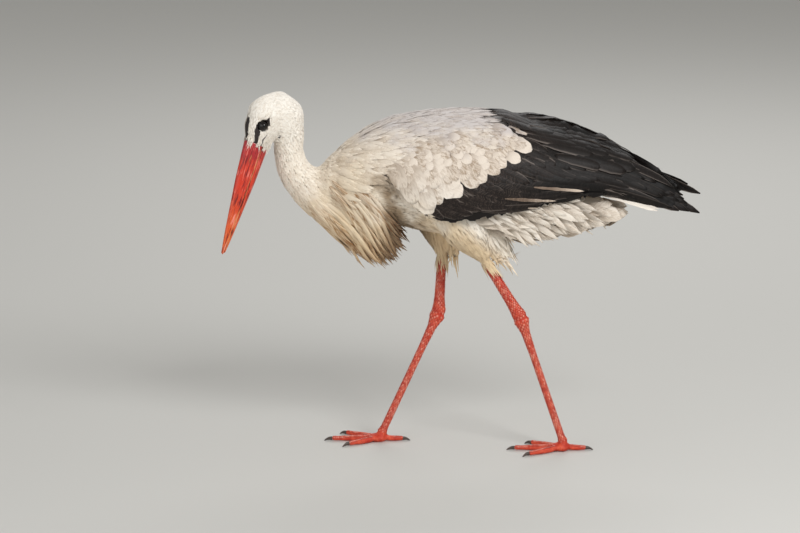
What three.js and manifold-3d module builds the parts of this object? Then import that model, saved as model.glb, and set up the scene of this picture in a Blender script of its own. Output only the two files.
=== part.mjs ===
// White stork (Ciconia ciconia), an adult stepping forward with its head lowered and turned to its left.
// Life size, in millimetres. X runs from the bill (-X) to the wing tips (+X), the bird's left side is -Y,
// and Z is up. The feet stand on Z = 0, below the middle of the bird.
import * as THREE from "three";
import { mergeVertices } from "three/addons/utils/BufferGeometryUtils.js";
import Module from "manifold-3d";

const wasm = await Module();
wasm.setup();

// ---------------------------------------------------------------- driving dimensions
const GAP = 0.4; // clear space left between two pieces that meet
const BILL_LENGTH = 178; // from the feather edge to the tip
const BILL_DEPTH = 42; // at the feather edge, both mandibles together
const BILL_WIDTH = 28; // at the feather edge
const HEAD_PITCH = THREE.MathUtils.degToRad(70); // how far the bill points below the horizon
const HEAD_TURN = THREE.MathUtils.degToRad(32); // how far the head looks to the bird's left
const EYE_LEVEL = new THREE.Vector3(-315, -25, 526); // the skull's axis, level with the eyes
const BILL_BASE = 34; // from the eye level to the feather edge, along the bill
const EYE_RADIUS = 8.5;
const TOE_LENGTH = { middle: 78, inner: 60, outer: 66, hind: 34 };
const TOE_SPREAD = THREE.MathUtils.degToRad(33);
const TOE_RADIUS = 5.2;
const CLAW_LENGTH = 11;
const WING_START = -136; // the wrist of the folded wing
const WING_END = 348; // the rounded end of the folded wing, before the long primaries
const TAIL_ROOT = new THREE.Vector3(150, 0, 436);
const TAIL_LENGTH = 168;
const TAIL_FEATHERS = 6;

// ---------------------------------------------------------------- colours of the pieces
const finish = (color, roughness) => new THREE.MeshStandardMaterial({ color, roughness, metalness: 0 });
const whitePlumage = finish(0xe9e2d6, 0.9);
const blackPlumage = finish(0x2a2624, 0.75);
const creamPlumage = finish(0xd3c0a0, 0.95);
const redHorn = finish(0xc8382c, 0.4);
const redSkin = finish(0xd4574a, 0.6);
const blackHorn = finish(0x35302e, 0.5);
const darkEye = finish(0x120d0b, 0.1);

// ---------------------------------------------------------------- shaping helpers
const { lerp, clamp } = THREE.MathUtils;
const vec = (x, y, z) => new THREE.Vector3(x, y, z);

/** A smooth function through a few [where, value] stations, with no overshoot between them. */
function profile(...stations) {
  const slope = stations.map(([x, v], i) => {
    const [before, after] = [stations[i - 1], stations[i + 1]];
    if (!before || !after) return 0;
    const left = (v - before[1]) / (x - before[0]);
    const right = (after[1] - v) / (after[0] - x);
    return left * right <= 0 ? 0 : (2 * left * right) / (left + right);
  });
  return (x) => {
    let i = 1;
    while (i < stations.length - 1 && x > stations[i][0]) i++;
    const [x0, v0] = stations[i - 1];
    const [x1, v1] = stations[i];
    const h = x1 - x0;
    const t = clamp((x - x0) / h, 0, 1);
    const [a, b] = [slope[i - 1] * h, slope[i] * h];
    return v0 + t * (a + t * (3 * (v1 - v0) - 2 * a - b + t * (2 * (v0 - v1) + a + b)));
  };
}

/** 0 at an end of a swept form and 1 past the given share of it, along a quarter ellipse. */
function rounded(s, start, end) {
  const quarter = (x) => Math.sqrt(Math.max(0, 1 - (1 - Math.min(x, 1)) ** 2));
  return quarter(s / start) * quarter((1 - s) / end);
}

/** A closed geometry as a solid, turned right side out. */
function solid(geometry) {
  geometry.deleteAttribute("normal");
  geometry.deleteAttribute("uv");
  const merged = mergeVertices(geometry, 1e-3);
  const vertProperties = new Float32Array(merged.attributes.position.array);
  const triVerts = new Uint32Array(merged.index.array);
  const made = new wasm.Manifold(new wasm.Mesh({ numProp: 3, vertProperties, triVerts }));
  if (made.volume() > 0) return made;
  for (let i = 0; i < triVerts.length; i += 3)
    [triVerts[i + 1], triVerts[i + 2]] = [triVerts[i + 2], triVerts[i + 1]];
  return new wasm.Manifold(new wasm.Mesh({ numProp: 3, vertProperties, triVerts }));
}

/** A sphere drawn out into a form: place(s, angle) is its surface, s = 0..1 from one pole to the other. */
function swept(along, around, place) {
  const geometry = new THREE.SphereGeometry(1, around, along);
  const { position, uv } = geometry.attributes;
  for (let i = 0; i < position.count; i++) {
    const s = (1 - Math.cos(Math.PI * (1 - uv.getY(i)))) / 2; // rings crowd towards the poles
    const p = place(clamp(s, 0, 1), 2 * Math.PI * uv.getX(i));
    position.setXYZ(i, p.x, p.y, p.z);
  }
  return solid(geometry);
}

/** A limb along a curve. size(s) gives its half width and half depth, and a third number for behind. */
function limb(points, size, { along = 10, around = 12 } = {}) {
  const path = new THREE.CatmullRomCurve3(points);
  return swept(along, around, (s, angle) => {
    const forward = path.getTangent(s);
    const side = vec(0, 1, 0).addScaledVector(forward, -forward.y).normalize();
    const front = new THREE.Vector3().crossVectors(side, forward);
    const [width, ahead, behind] = size(s);
    const depth = Math.sin(angle) > 0 ? ahead : (behind ?? ahead);
    return path
      .getPoint(s)
      .addScaledVector(side, width * Math.cos(angle))
      .addScaledVector(front, depth * Math.sin(angle));
  });
}

/** A feather or lock: a flat lance from root to tip, broadest at a share of its length. */
function lance(root, tip, halfWidth, halfDepth, style = {}) {
  const { broadest = 0.45, blunt = 0.12, end = 0.16, sag = 0, along = 5, around = 6 } = style;
  const middle = root.clone().lerp(tip, 0.5).add(vec(0, 0, sag));
  const form = profile([0, 0.35], [broadest, 1], [1, end]);
  return limb(
    [root, middle, tip],
    (s) => [form(s) * halfWidth * rounded(s, 0.1, blunt), form(s) * halfDepth * rounded(s, 0.1, blunt)],
    { along, around },
  );
}

const union = (pieces) => pieces.reduce((whole, piece) => whole.add(piece));

/** The part of a solid on the side that normal points to, kept half a gap clear of the plane. */
function beyond(whole, point, normal) {
  const n = normal.clone().normalize();
  return whole.trimByPlane([n.x, n.y, n.z], n.dot(point) + GAP / 2);
}

/** Both parts of a solid on the two sides of a plane: [behind it, in front of it]. */
const parted = (whole, point, normal) => [
  beyond(whole, point, normal.clone().negate()),
  beyond(whole, point, normal),
];

/** The same solid with its surface pushed out, to cut a neighbour with so that a gap is left. */
function swollen(whole, by = 2 * GAP) {
  const { vertProperties, triVerts, numProp } = whole.getMesh();
  const geometry = new THREE.BufferGeometry();
  geometry.setAttribute("position", new THREE.BufferAttribute(new Float32Array(vertProperties), numProp));
  geometry.setIndex(new THREE.BufferAttribute(new Uint32Array(triVerts), 1));
  geometry.computeVertexNormals();
  const { position, normal } = geometry.attributes;
  for (let i = 0; i < position.array.length; i++) position.array[i] += by * normal.array[i];
  return new wasm.Manifold(new wasm.Mesh({ numProp, vertProperties: position.array, triVerts }));
}

/** A solid cut back so that it stays clear of its neighbours. */
const clearOf = (whole, ...others) => others.reduce((left, other) => left.subtract(swollen(other)), whole);

const largest = (whole) => whole.decompose().sort((a, b) => b.volume() - a.volume())[0];

/** A solid cut off flat at the ground. */
const flatBelow = (whole) => whole.trimByPlane([0, 0, 1], 0);

/** A direction in the plane of symmetry, given as X and Z. */
const facing = (x, z) => vec(x, 0, z);

// ---------------------------------------------------------------- the head's own axes
const alongBill = vec(
  -Math.cos(HEAD_TURN) * Math.cos(HEAD_PITCH),
  -Math.sin(HEAD_TURN) * Math.cos(HEAD_PITCH),
  -Math.sin(HEAD_PITCH),
);
const overBill = vec(
  -Math.cos(HEAD_TURN) * Math.sin(HEAD_PITCH),
  -Math.sin(HEAD_TURN) * Math.sin(HEAD_PITCH),
  Math.cos(HEAD_PITCH),
);
const leftOfBill = new THREE.Vector3().crossVectors(overBill, alongBill);

/** A point of the head: ahead along the bill, over towards the forehead, and out to the left. */
const onHead = (ahead, over, left) =>
  EYE_LEVEL.clone()
    .addScaledVector(alongBill, ahead)
    .addScaledVector(overBill, over)
    .addScaledVector(leftOfBill, left);

function skull() {
  const start = -53;
  const end = BILL_BASE + 3;
  const brow = profile([-53, 27], [-18, 29], [0, 28], [20, 24], [37, 20]);
  const jaw = profile([-53, 27], [-18, 29], [0, 31], [20, 28], [37, 23]);
  const cheek = profile([-53, 26], [-18, 27], [0, 24.5], [20, 19.5], [37, 15]);
  const wedge = profile([-30, 0], [0, 0.2], [37, 0.3]); // the face narrows towards the forehead
  return swept(10, 16, (s, angle) => {
    const ahead = lerp(start, end, s);
    const close = rounded(s, 0.34, 0.04);
    const over = Math.cos(angle);
    const depth = over > 0 ? brow(ahead) : jaw(ahead);
    const width = cheek(ahead) * (1 - wedge(ahead) * Math.max(0, over));
    return onHead(ahead, over * depth * close, Math.sin(angle) * width * close);
  });
}

/** One mandible, round outside and flat along the gape, which runs from the face to the tip. */
function mandible(upper) {
  const sign = upper ? 1 : -1;
  const start = BILL_BASE - 8;
  const end = BILL_BASE + BILL_LENGTH - (upper ? 0 : 2);
  const gape = profile([start, -5], [BILL_BASE + BILL_LENGTH, 0]);
  const taper = profile([0, 1.01], [0.3, 0.84], [0.55, 0.6], [0.8, 0.37], [0.95, 0.2], [1, 0.12]);
  return swept(10, 10, (s, angle) => {
    const ahead = lerp(start, end, s);
    const size = taper(clamp((ahead - BILL_BASE) / BILL_LENGTH, 0, 1));
    const close = rounded(s, 0.02, 0.015);
    const outside = Math.max(0, sign * Math.cos(angle)); // 0 along the gape, 1 on the ridge
    const flat = gape(ahead) + (sign * GAP) / 2;
    const ridge = (sign * BILL_DEPTH * size) / 2;
    const width = (BILL_WIDTH / 2) * size * (1 - 0.12 * outside);
    return onHead(ahead, flat + outside * (ridge - flat) * close, Math.sin(angle) * width * close);
  });
}

/** An eyeball, a little proud of the face on the given side (1 is the bird's left). */
function eye(side) {
  const centre = onHead(0, 7.5, side * 15.4);
  return swept(6, 10, (s, angle) => {
    const r = EYE_RADIUS;
    const up = r * (2 * s - 1);
    const ring = Math.sqrt(Math.max(0, r * r - up * up));
    return centre.clone().add(vec(ring * Math.cos(angle), ring * Math.sin(angle), up));
  });
}

// ---------------------------------------------------------------- neck and trunk
function neck() {
  const spine = [
    vec(-304, -17, 547),
    vec(-286, -9, 549),
    vec(-276, -5, 522),
    vec(-275, -1, 486),
    vec(-266, 0, 452),
    vec(-245, 0, 426),
    vec(-210, 0, 406),
    vec(-150, 0, 405),
  ];
  const throat = profile([0, 24], [0.14, 26], [0.35, 24], [0.5, 27], [0.7, 36], [0.85, 47], [1, 62]);
  const nape = profile([0, 24], [0.14, 29], [0.35, 27], [0.5, 26], [0.7, 34], [1, 58]);
  const width = profile([0, 22], [0.14, 26], [0.35, 23], [0.55, 27], [0.7, 36], [1, 58]);
  return limb(
    spine,
    (s) => {
      const close = rounded(s, 0.1, 0.12);
      return [width(s) * close, throat(s) * close, nape(s) * close];
    },
    { along: 17, around: 14 },
  );
}

// The trunk's outline seen from the side and from above.
const trunkTop = profile(
  [-256, 448], [-210, 478], [-160, 514], [-97, 538],
  [-12, 548], [60, 542], [207, 462],
);
const trunkBottom = profile([-256, 380], [-200, 360], [-105, 360], [-40, 342], [61, 352], [207, 410]);
const trunkSide = profile([-256, 40], [-160, 73], [-97, 85], [-18, 88], [61, 80], [124, 60], [207, 30]);

function trunk() {
  const [start, end] = [-252, 207];
  return swept(16, 20, (s, angle) => {
    const x = lerp(start, end, s);
    const close = rounded(s, 0.12, 0.1);
    const [top, bottom] = [trunkTop(x), trunkBottom(x)];
    const middle = lerp(bottom, top, 0.52);
    const up = Math.sin(angle);
    const height = up > 0 ? top - middle : middle - bottom;
    const squareness = 1 - 0.06 * Math.sin(2 * angle) ** 2; // fuller flanks than an ellipse has
    return vec(x, (Math.cos(angle) * trunkSide(x) * close) / squareness, middle + up * height * close);
  });
}

// ---------------------------------------------------------------- wings
// The folded wing's two long edges. Y is the distance out from the plane of symmetry.
const wingLowY = profile([-136, 78], [-90, 92], [-25, 97], [60, 90], [143, 72], [228, 46], [348, 16]);
const wingLowZ = profile(
  [-136, 452], [-60, 393], [-21, 382], [85, 398],
  [228, 417], [284, 405], [348, 395],
);
const wingHighY = profile([-136, 76], [-97, 64], [-50, 52], [29, 36], [108, 20], [156, 11], [348, 6]);
const wingHighZ = profile(
  [-136, 454], [-97, 491], [-50, 516], [36, 530],
  [132, 513], [318, 441], [348, 412],
);
const wingThickness = profile([-136, 12], [-60, 16], [60, 13], [180, 9], [348, 5]);
const rightOverLeft = profile([50, 0], [111, 15], [163, 18], [221, 13], [268, 4], [348, 0]);

// The long primaries that reach past the rest of each folded wing: where they leave it, and their tips.
const primariesStart = vec(232, 0, 0);
const primaries = {
  left: [
    [0.1, vec(373, -11, 382)],
    [-0.15, vec(356, -17, 386)],
    [-0.35, vec(340, -22, 388)],
  ],
  right: [
    [0.25, vec(375, 8, 409)],
    [0, vec(362, 13, 412)],
    [-0.25, vec(345, 19, 412)],
  ],
};

/** A point of the folded wing: across runs from -1/2 on its lower edge to 1/2 on its upper one. */
function onWing(side, x, across, out = 0) {
  const low = vec(x, wingLowY(x), wingLowZ(x));
  const high = vec(x, wingHighY(x), wingHighZ(x) + (side > 0 ? rightOverLeft(x) : 0));
  const chord = high.clone().sub(low);
  const outwards = vec(0, chord.z, -chord.y).normalize();
  const bow = 0.17 * chord.length() * (1 - 4 * across * across);
  const p = low.lerp(high, 0.5 + across).addScaledVector(outwards, bow + out);
  return vec(p.x, side * p.y, p.z);
}

/** A folded wing, or the same with its surface pushed out to cut the trunk with. */
function wing(side, grown = 0) {
  const shortChord = 60;
  return swept(18, 12, (s, angle) => {
    const x = lerp(WING_START - grown, WING_END + grown, s);
    const close = rounded(s, 0.1, 0.05);
    const across = (1 + (2 * grown) / shortChord) * 0.5 * Math.cos(angle) * close;
    return onWing(side, x, across, (wingThickness(x) / 2 + grown) * Math.sin(angle) * close);
  });
}

function primary(side, [across, tip]) {
  const root = onWing(side, primariesStart.x - 6, across);
  const blade = lance(root, tip, 2.4, 10, { broadest: 0.4, blunt: 0.1, end: 0.4, along: 4, around: 5 });
  return beyond(blade, primariesStart, facing(1, 0));
}

// ---------------------------------------------------------------- tail
function tail() {
  const blades = [];
  for (let i = 0; i < TAIL_FEATHERS; i++) {
    const across = i / (TAIL_FEATHERS - 1) - 0.5; // -1/2 is the left edge
    const root = TAIL_ROOT.clone().add(vec(0, across * 34, -Math.abs(across) * 5));
    const length = TAIL_LENGTH - 22 * Math.abs(across);
    const tip = root.clone().add(vec(length, across * 40, -46 - Math.abs(across) * 12));
    blades.push(lance(root, tip, 14, 2.2, { broadest: 0.6, blunt: 0.2, end: 0.75, sag: 3, along: 4 }));
  }
  return union(blades);
}

/** The loose white plumes under the tail. */
function undertail() {
  const mass = limb(
    [vec(80, 0, 388), vec(140, 0, 386), vec(190, 0, 390), vec(252, 0, 386)],
    (s) => {
      const close = rounded(s, 0.2, 0.2);
      return [lerp(44, 24, s) * close, lerp(33, 20, s) * close];
    },
    { along: 8, around: 12 },
  );
  const locks = [110, 152, 194, 236].flatMap((x, i) =>
    [-1, 1].map((side) => {
      const spread = side * lerp(30, 10, i / 3);
      const tip = vec(x + 16, spread, 342 + 0.0012 * (x - 150) ** 2);
      return lance(vec(x - 40, 0.7 * spread, 384), tip, 14, 9, { blunt: 0.2, along: 3, around: 5 });
    }),
  );
  return union([mass, ...locks]);
}

// ---------------------------------------------------------------- breast plume
/** The long pointed feathers that hang from the lower neck: a soft mass with locks that end in points. */
function breastPlume() {
  const mass = limb(
    [vec(-224, 0, 382), vec(-178, 0, 352), vec(-120, 0, 316)],
    (s) => {
      const close = rounded(s, 0.25, 0.35);
      return [lerp(30, 40, s) * close, 12 * close, lerp(16, 30, s) * close];
    },
    { along: 5, around: 10 },
  );
  const rows = [
    { root: vec(-222, 0, 388), tip: vec(-152, 0, 320), spread: 14, width: 16, depth: 9, count: 2 },
    { root: vec(-196, 0, 372), tip: vec(-124, 0, 298), spread: 26, width: 18, depth: 10, count: 3 },
    { root: vec(-172, 0, 372), tip: vec(-104, 0, 297), spread: 34, width: 20, depth: 13, count: 3 },
    { root: vec(-150, 0, 376), tip: vec(-92, 0, 312), spread: 40, width: 20, depth: 15, count: 3 },
  ];
  const locks = rows.flatMap(({ root, tip, spread, width, depth, count }) =>
    Array.from({ length: count }, (_, i) => {
      const across = (2 * i) / (count - 1) - 1;
      const from = root.clone().add(vec(0, across * spread, 0));
      const to = tip.clone().add(vec(-4 * across, across * spread, 8 * across * across));
      return lance(from, to, width, depth, { broadest: 0.45, blunt: 0.08, along: 3, around: 5 });
    }),
  );
  return union([mass, ...locks]);
}

// ---------------------------------------------------------------- legs
const legs = {
  left: {
    side: -1,
    hip: vec(-30, -54, 412),
    cuff: vec(35, -42, 313),
    heel: vec(91, -35, 219),
    foot: vec(161, -29, 11),
    trail: 38,
  },
  right: {
    side: 1,
    hip: vec(-54, 52, 410),
    cuff: vec(-32, 42, 302),
    heel: vec(-37, 36, 210),
    foot: vec(-129, 29, 11),
    trail: 16,
  },
};

/** The feathered upper leg, with the loose plumes that trail behind it. */
function thigh({ hip, cuff, side, trail }) {
  const knee = hip.clone().lerp(cuff, 0.5).add(vec(4, side * 6, 0));
  const width = profile([0, 26], [0.4, 29], [0.75, 19], [1, 10]);
  const ahead = profile([0, 36], [0.4, 40], [0.75, 27], [1, 11]);
  const behind = profile([0, 40], [0.4, 42], [0.75, 26], [1, 11]);
  const main = limb(
    [hip, knee, cuff],
    (s) => {
      const close = rounded(s, 0.2, 0.04);
      return [width(s) * close, ahead(s) * close, behind(s) * close];
    },
    { along: 8, around: 12 },
  );
  const plumes = [1, 2, 3].map((i) => {
    const root = knee.clone().add(vec(4 + 6 * i, -side * 4 * i, 26));
    const tip = cuff.clone().add(vec(8 + (trail * i) / 3, -side * 3 * i, -10 + 3 * i));
    return lance(root, tip, 15, 17, { broadest: 0.5, along: 4 });
  });
  return union([main, ...plumes]);
}

function shin({ cuff, heel }) {
  const above = cuff.clone().lerp(heel, -0.28);
  return limb(
    [above, cuff, heel.clone().lerp(cuff, 0.3), heel],
    (s) => {
      const close = rounded(s, 0.05, 0.04);
      const size = profile([0, 7.6], [0.5, 7.6], [0.8, 9], [1, 12])(s);
      return [size * 0.8 * close, size * close];
    },
    { along: 8, around: 10 },
  );
}

function tarsus({ heel, foot }) {
  const depth = profile([0, 12.5], [0.06, 13], [0.2, 8], [0.4, 5.6], [0.86, 5.8], [0.96, 8.2], [1, 8]);
  const width = profile([0, 9.5], [0.06, 10], [0.18, 6.6], [0.5, 4.8], [0.86, 5.6], [0.96, 9], [1, 9]);
  return limb(
    [heel, heel.clone().lerp(foot, 0.12), heel.clone().lerp(foot, 0.5), heel.clone().lerp(foot, 0.9), foot],
    (s) => {
      const close = rounded(s, 0.035, 0.03);
      return [width(s) * close, depth(s) * close];
    },
    { along: 12, around: 10 },
  );
}

const toeDirections = { middle: 0, inner: -1, outer: 1 };

/** Where a toe starts and ends: it lies on the ground, flat underneath. */
function toeLine(leg, name) {
  const { foot, side } = leg;
  const turn = name === "hind" ? Math.PI : toeDirections[name] * TOE_SPREAD;
  const way = vec(-Math.cos(turn), side * Math.sin(turn), 0);
  const from = vec(foot.x, foot.y, TOE_RADIUS - 0.7).addScaledVector(way, 2);
  return { way, from, to: from.clone().addScaledVector(way, TOE_LENGTH[name]) };
}

function toe(leg, name) {
  const { from, to } = toeLine(leg, name);
  const joints = name === "hind" ? 2 : 3;
  return limb(
    [from.clone().add(vec(0, 0, 2)), from.clone().lerp(to, 0.5), to],
    (s) => {
      const knuckle = 1 + 0.1 * Math.cos(2 * Math.PI * joints * s);
      const size = lerp(TOE_RADIUS, TOE_RADIUS * 0.72, s) * knuckle * rounded(s, 0.06, 0.07);
      return [size, size];
    },
    { along: 7, around: 8 },
  );
}

/** The ball of the foot, with the small web between the roots of the front toes. */
function ballOfFoot(leg) {
  const { foot } = leg;
  return swept(4, 10, (s, angle) => {
    const reach = Math.cos(angle) < 0 ? 15 + 7 * Math.cos(angle) ** 2 : 12;
    const up = 2 * s - 1;
    const ring = Math.sqrt(1 - up * up);
    const across = 15 * ring * Math.sin(angle);
    return vec(foot.x - 2 + reach * ring * Math.cos(angle), foot.y + across, 6 + 7.5 * up);
  });
}

function claw(leg, name) {
  const { way, to } = toeLine(leg, name);
  const from = to.clone().addScaledVector(way, -3);
  const tip = to.clone().addScaledVector(way, CLAW_LENGTH).setZ(0.9);
  return limb(
    [from, from.clone().lerp(tip, 0.5).add(vec(0, 0, 1)), tip],
    (s) => {
      const size = profile([0, 2.9], [0.4, 2.5], [1, 0.5])(s) * rounded(s, 0.08, 0.1);
      return [size, size];
    },
    { along: 3, around: 6 },
  );
}

// ---------------------------------------------------------------- putting the bird together
const stork = new THREE.Group();

function add(name, made, material) {
  const { numProp, vertProperties, triVerts } = largest(made).getMesh();
  const position = new Float32Array((vertProperties.length / numProp) * 3);
  for (let i = 0; i < position.length / 3; i++)
    position.set(vertProperties.subarray(i * numProp, i * numProp + 3), i * 3);
  const geometry = new THREE.BufferGeometry();
  geometry.setAttribute("position", new THREE.BufferAttribute(position, 3));
  geometry.setIndex(new THREE.BufferAttribute(new Uint32Array(triVerts), 1));
  geometry.computeVertexNormals();
  const mesh = new THREE.Mesh(geometry, material);
  mesh.name = name;
  stork.add(mesh);
}

// The wings lie on the trunk, and each is parted where the white coverts give way to the black feathers.
const coverEdge = vec(40, 0, 454);
const coverEdgeFaces = facing(0.587, -0.81);
const wings = [];
for (const [name, side] of [["left", -1], ["right", 1]]) {
  const [arm, black] = parted(wing(side), coverEdge, coverEdgeFaces);
  const [secondaries, hand] = parted(black, primariesStart, facing(1, 0));
  const tips = union([hand, ...primaries[name].map((blade) => primary(side, blade))]);
  wings.push(wing(side, 2.5 * GAP).add(swollen(tips)));
  add(`wing_${name}_coverts`, arm, whitePlumage);
  add(`wing_${name}_secondaries`, secondaries, blackPlumage);
  add(`wing_${name}_primaries`, tips, blackPlumage);
}

// Head, neck and trunk are one form, parted across the neck.
const headCut = { point: vec(-268, 0, 513), normal: facing(0.63, -0.78) };
const throatCut = { point: vec(-260, 0, 446), normal: facing(0.69, -0.72) };
const shoulderCut = { point: vec(-212, 0, 420), normal: facing(0.96, -0.28) };
const whole = union([skull(), neck(), trunk()]).subtract(union(wings));
const [headRaw, belowHead] = parted(whole, headCut.point, headCut.normal);
const [neckUpper, belowThroat] = parted(belowHead, throatCut.point, throatCut.normal);
const [neckLower, body] = parted(belowThroat, shoulderCut.point, shoulderCut.normal);

const featherEdge = onHead(BILL_BASE, 0, 0);
const face = beyond(headRaw, featherEdge, alongBill.clone().negate());
const eyes = [eye(1), eye(-1)];
add("head", clearOf(face, ...eyes), whitePlumage);
add("bill_upper", beyond(mandible(true), featherEdge, alongBill), redHorn);
add("bill_lower", beyond(mandible(false), featherEdge, alongBill), redHorn);
add("eye_left", eyes[0], darkEye);
add("eye_right", eyes[1], darkEye);
add("neck_upper", neckUpper, whitePlumage);
add("neck_lower", neckLower, whitePlumage);
add("trunk", body, whitePlumage);
add("breast_plume", clearOf(breastPlume(), neckLower, body), creamPlumage);
const tailFan = clearOf(tail(), body).subtract(union(wings));
add("tail", tailFan, whitePlumage);
add("undertail", clearOf(undertail(), body, tailFan).subtract(union(wings)), whitePlumage);
for (const [name, leg] of Object.entries(legs)) {
  const upper = clearOf(thigh(leg), body).subtract(union(wings));
  const middle = clearOf(shin(leg), upper);
  const lower = clearOf(tarsus(leg), middle);
  const pad = clearOf(flatBelow(ballOfFoot(leg)), lower);
  add(`thigh_${name}`, upper, whitePlumage);
  add(`shank_${name}`, middle, redSkin);
  add(`tarsus_${name}`, lower, redSkin);
  add(`foot_${name}`, pad, redSkin);
  for (const which of Object.keys(TOE_LENGTH)) {
    const digit = clearOf(flatBelow(toe(leg, which)), pad, lower);
    add(`toe_${name}_${which}`, digit, redSkin);
    add(`claw_${name}_${which}`, clearOf(claw(leg, which), digit), blackHorn);
  }
}

// The origin is the middle of the bounding box, at the ground.
const box = new THREE.Box3().setFromObject(stork);
stork.position.set(-(box.min.x + box.max.x) / 2, -(box.min.y + box.max.y) / 2, -box.min.z);

export default stork;
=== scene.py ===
# %% [markdown]
# # A white stork, life size
# A white stork walks slowly with its neck lowered, its bill pointing at the ground and its head turned a
# little to its left. Everything is modelled in metres round the CAD frame: the bill is at -X, the bird's
# left side at -Y, and the soles are on Z = 0.

# %% Load the frame
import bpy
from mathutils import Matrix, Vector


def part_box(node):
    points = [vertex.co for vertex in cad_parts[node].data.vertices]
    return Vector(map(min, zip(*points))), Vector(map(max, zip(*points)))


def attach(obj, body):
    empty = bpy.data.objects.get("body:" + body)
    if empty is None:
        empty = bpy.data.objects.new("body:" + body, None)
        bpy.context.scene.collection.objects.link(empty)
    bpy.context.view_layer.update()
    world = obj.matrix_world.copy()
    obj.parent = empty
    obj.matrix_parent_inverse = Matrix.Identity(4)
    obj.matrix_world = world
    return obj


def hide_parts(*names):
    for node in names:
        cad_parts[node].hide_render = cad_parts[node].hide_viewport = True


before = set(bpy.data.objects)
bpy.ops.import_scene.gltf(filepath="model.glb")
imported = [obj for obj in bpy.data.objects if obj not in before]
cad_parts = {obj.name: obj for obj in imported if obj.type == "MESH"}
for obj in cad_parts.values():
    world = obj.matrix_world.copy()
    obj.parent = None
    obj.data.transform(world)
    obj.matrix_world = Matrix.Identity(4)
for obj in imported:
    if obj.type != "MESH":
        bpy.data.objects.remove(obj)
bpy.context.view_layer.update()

# %% Libraries
import math
from collections import namedtuple

import bmesh
import bpy
import numpy as np
from mathutils import Matrix, Vector
from mathutils.bvhtree import BVHTree
from mathutils.kdtree import KDTree

MM = 0.001
SIDES = {"left": -1, "right": 1}
TOES = ("middle", "inner", "outer", "hind")
chance = np.random.default_rng(7)

# %% [markdown]
# ## Small helpers
# Colours are written as sRGB hex, the way a paint program shows them, and one function turns them linear,
# because shaders work in linear light. A second one adds a shader node with its settings and links, so that
# a whole material reads as a list of nodes.

# %% Colours and nodes
def tone(hex_colour):
    """An sRGB hex colour as the linear colour that a shader takes."""
    channels = [int(hex_colour[i : i + 2], 16) / 255 for i in (1, 3, 5)]
    linear = [c / 12.92 if c <= 0.04045 else ((c + 0.055) / 1.055) ** 2.4 for c in channels]
    return (*linear, 1.0)


def add(tree, kind, inputs=None, **settings):
    """Adds a node. inputs maps a socket's name or number to a value, a hex colour, another node's output, or
    another node, which stands for the first of its outputs that is in use."""
    made = tree.nodes.new("ShaderNode" + kind)
    for name, value in settings.items():
        setattr(made, name, value)
    for name, value in (inputs or {}).items():
        if isinstance(value, bpy.types.Node):
            value = next(output for output in value.outputs if output.enabled)
        if isinstance(value, bpy.types.NodeSocket):
            tree.links.new(value, made.inputs[name])
        else:
            made.inputs[name].default_value = tone(value) if isinstance(value, str) else value
    return made


def material(name):
    """An empty node material, as (material, its tree)."""
    made = bpy.data.materials.new(name)
    made.use_nodes = True
    made.node_tree.nodes.clear()
    return made, made.node_tree


def surfaced(tree, inputs, height=None, strength=0.0, depth=0.0):
    """Ends a material with a surface, bumped by a height where there is one; depth is in millimetres."""
    if height is not None:
        bump = add(tree, "Bump", {"Height": height, "Strength": strength, "Distance": depth * MM})
        inputs = inputs | {"Normal": bump.outputs[0]}
    surface = add(tree, "BsdfPrincipled", inputs)
    add(tree, "OutputMaterial", {"Surface": surface.outputs[0]})


def mesh_of(name, shape):
    """A bmesh as a new mesh; the bmesh itself goes."""
    mesh = bpy.data.meshes.new(name)
    shape.to_mesh(mesh)
    shape.free()
    return mesh


def mesh_object(name, mesh):
    """A mesh in the scene, at the origin."""
    made = bpy.data.objects.new(name, mesh)
    bpy.context.collection.objects.link(made)
    return made


print("helpers ready")

# %% [markdown]
# ## Camera, light and floor
# The bird is seen from its left side with a long lens, from a little above its back. The light is a plain
# soft studio: the key lamp high on the right, a wide weak one on the left, one behind the bird, and
# a pale world that fills the shadows. The floor is plain and pale, and isn't part of the bird.

# %% Camera
VIEW_DISTANCE = 8.0
VIEW_ELEVATION = math.radians(13)
VIEW_AIM = Vector((-0.0972, 0, 0.2928))
LENS = 227.8  # millimetres, on a sensor 36 mm wide

lens = bpy.data.cameras.new("camera")
lens.lens = LENS
lens.clip_end = 60
camera = bpy.data.objects.new("camera", lens)
backwards = Vector((0, -math.cos(VIEW_ELEVATION), math.sin(VIEW_ELEVATION)))
camera.location = VIEW_AIM + VIEW_DISTANCE * backwards
camera.rotation_euler = (-backwards).to_track_quat("-Z", "Y").to_euler()
bpy.context.collection.objects.link(camera)
bpy.context.scene.camera = camera
bpy.context.scene.view_settings.view_transform = "Standard"
print("camera at", tuple(round(c, 3) for c in camera.location))


# %% Light and floor
LAMP_AIM = Vector((0, 0, 0.35))  # the middle of the bird
FLOOR_HALF = 30  # metres


def lamp(name, place, size, power):
    """A square soft lamp that faces the bird; metres and watts."""
    light = bpy.data.lights.new(name, "AREA")
    light.size = size
    light.energy = power
    holder = bpy.data.objects.new(name, light)
    holder.location = place
    holder.rotation_euler = (LAMP_AIM - Vector(place)).to_track_quat("-Z", "Y").to_euler()
    bpy.context.collection.objects.link(holder)


lamp("key", (1.4, -2.1, 2.2), 1.1, 60)
lamp("fill", (-2.2, -2.6, 1.1), 2.4, 25)
lamp("back", (0.4, 2.4, 2.2), 1.6, 26)

world = bpy.data.worlds.new("studio")
bpy.context.scene.world = world
world.use_nodes = True
world.node_tree.nodes.clear()
sky = add(world.node_tree, "Background", {"Color": tone("#f4f3f0"), "Strength": 0.46})
add(world.node_tree, "OutputWorld", {"Surface": sky.outputs[0]})

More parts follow.
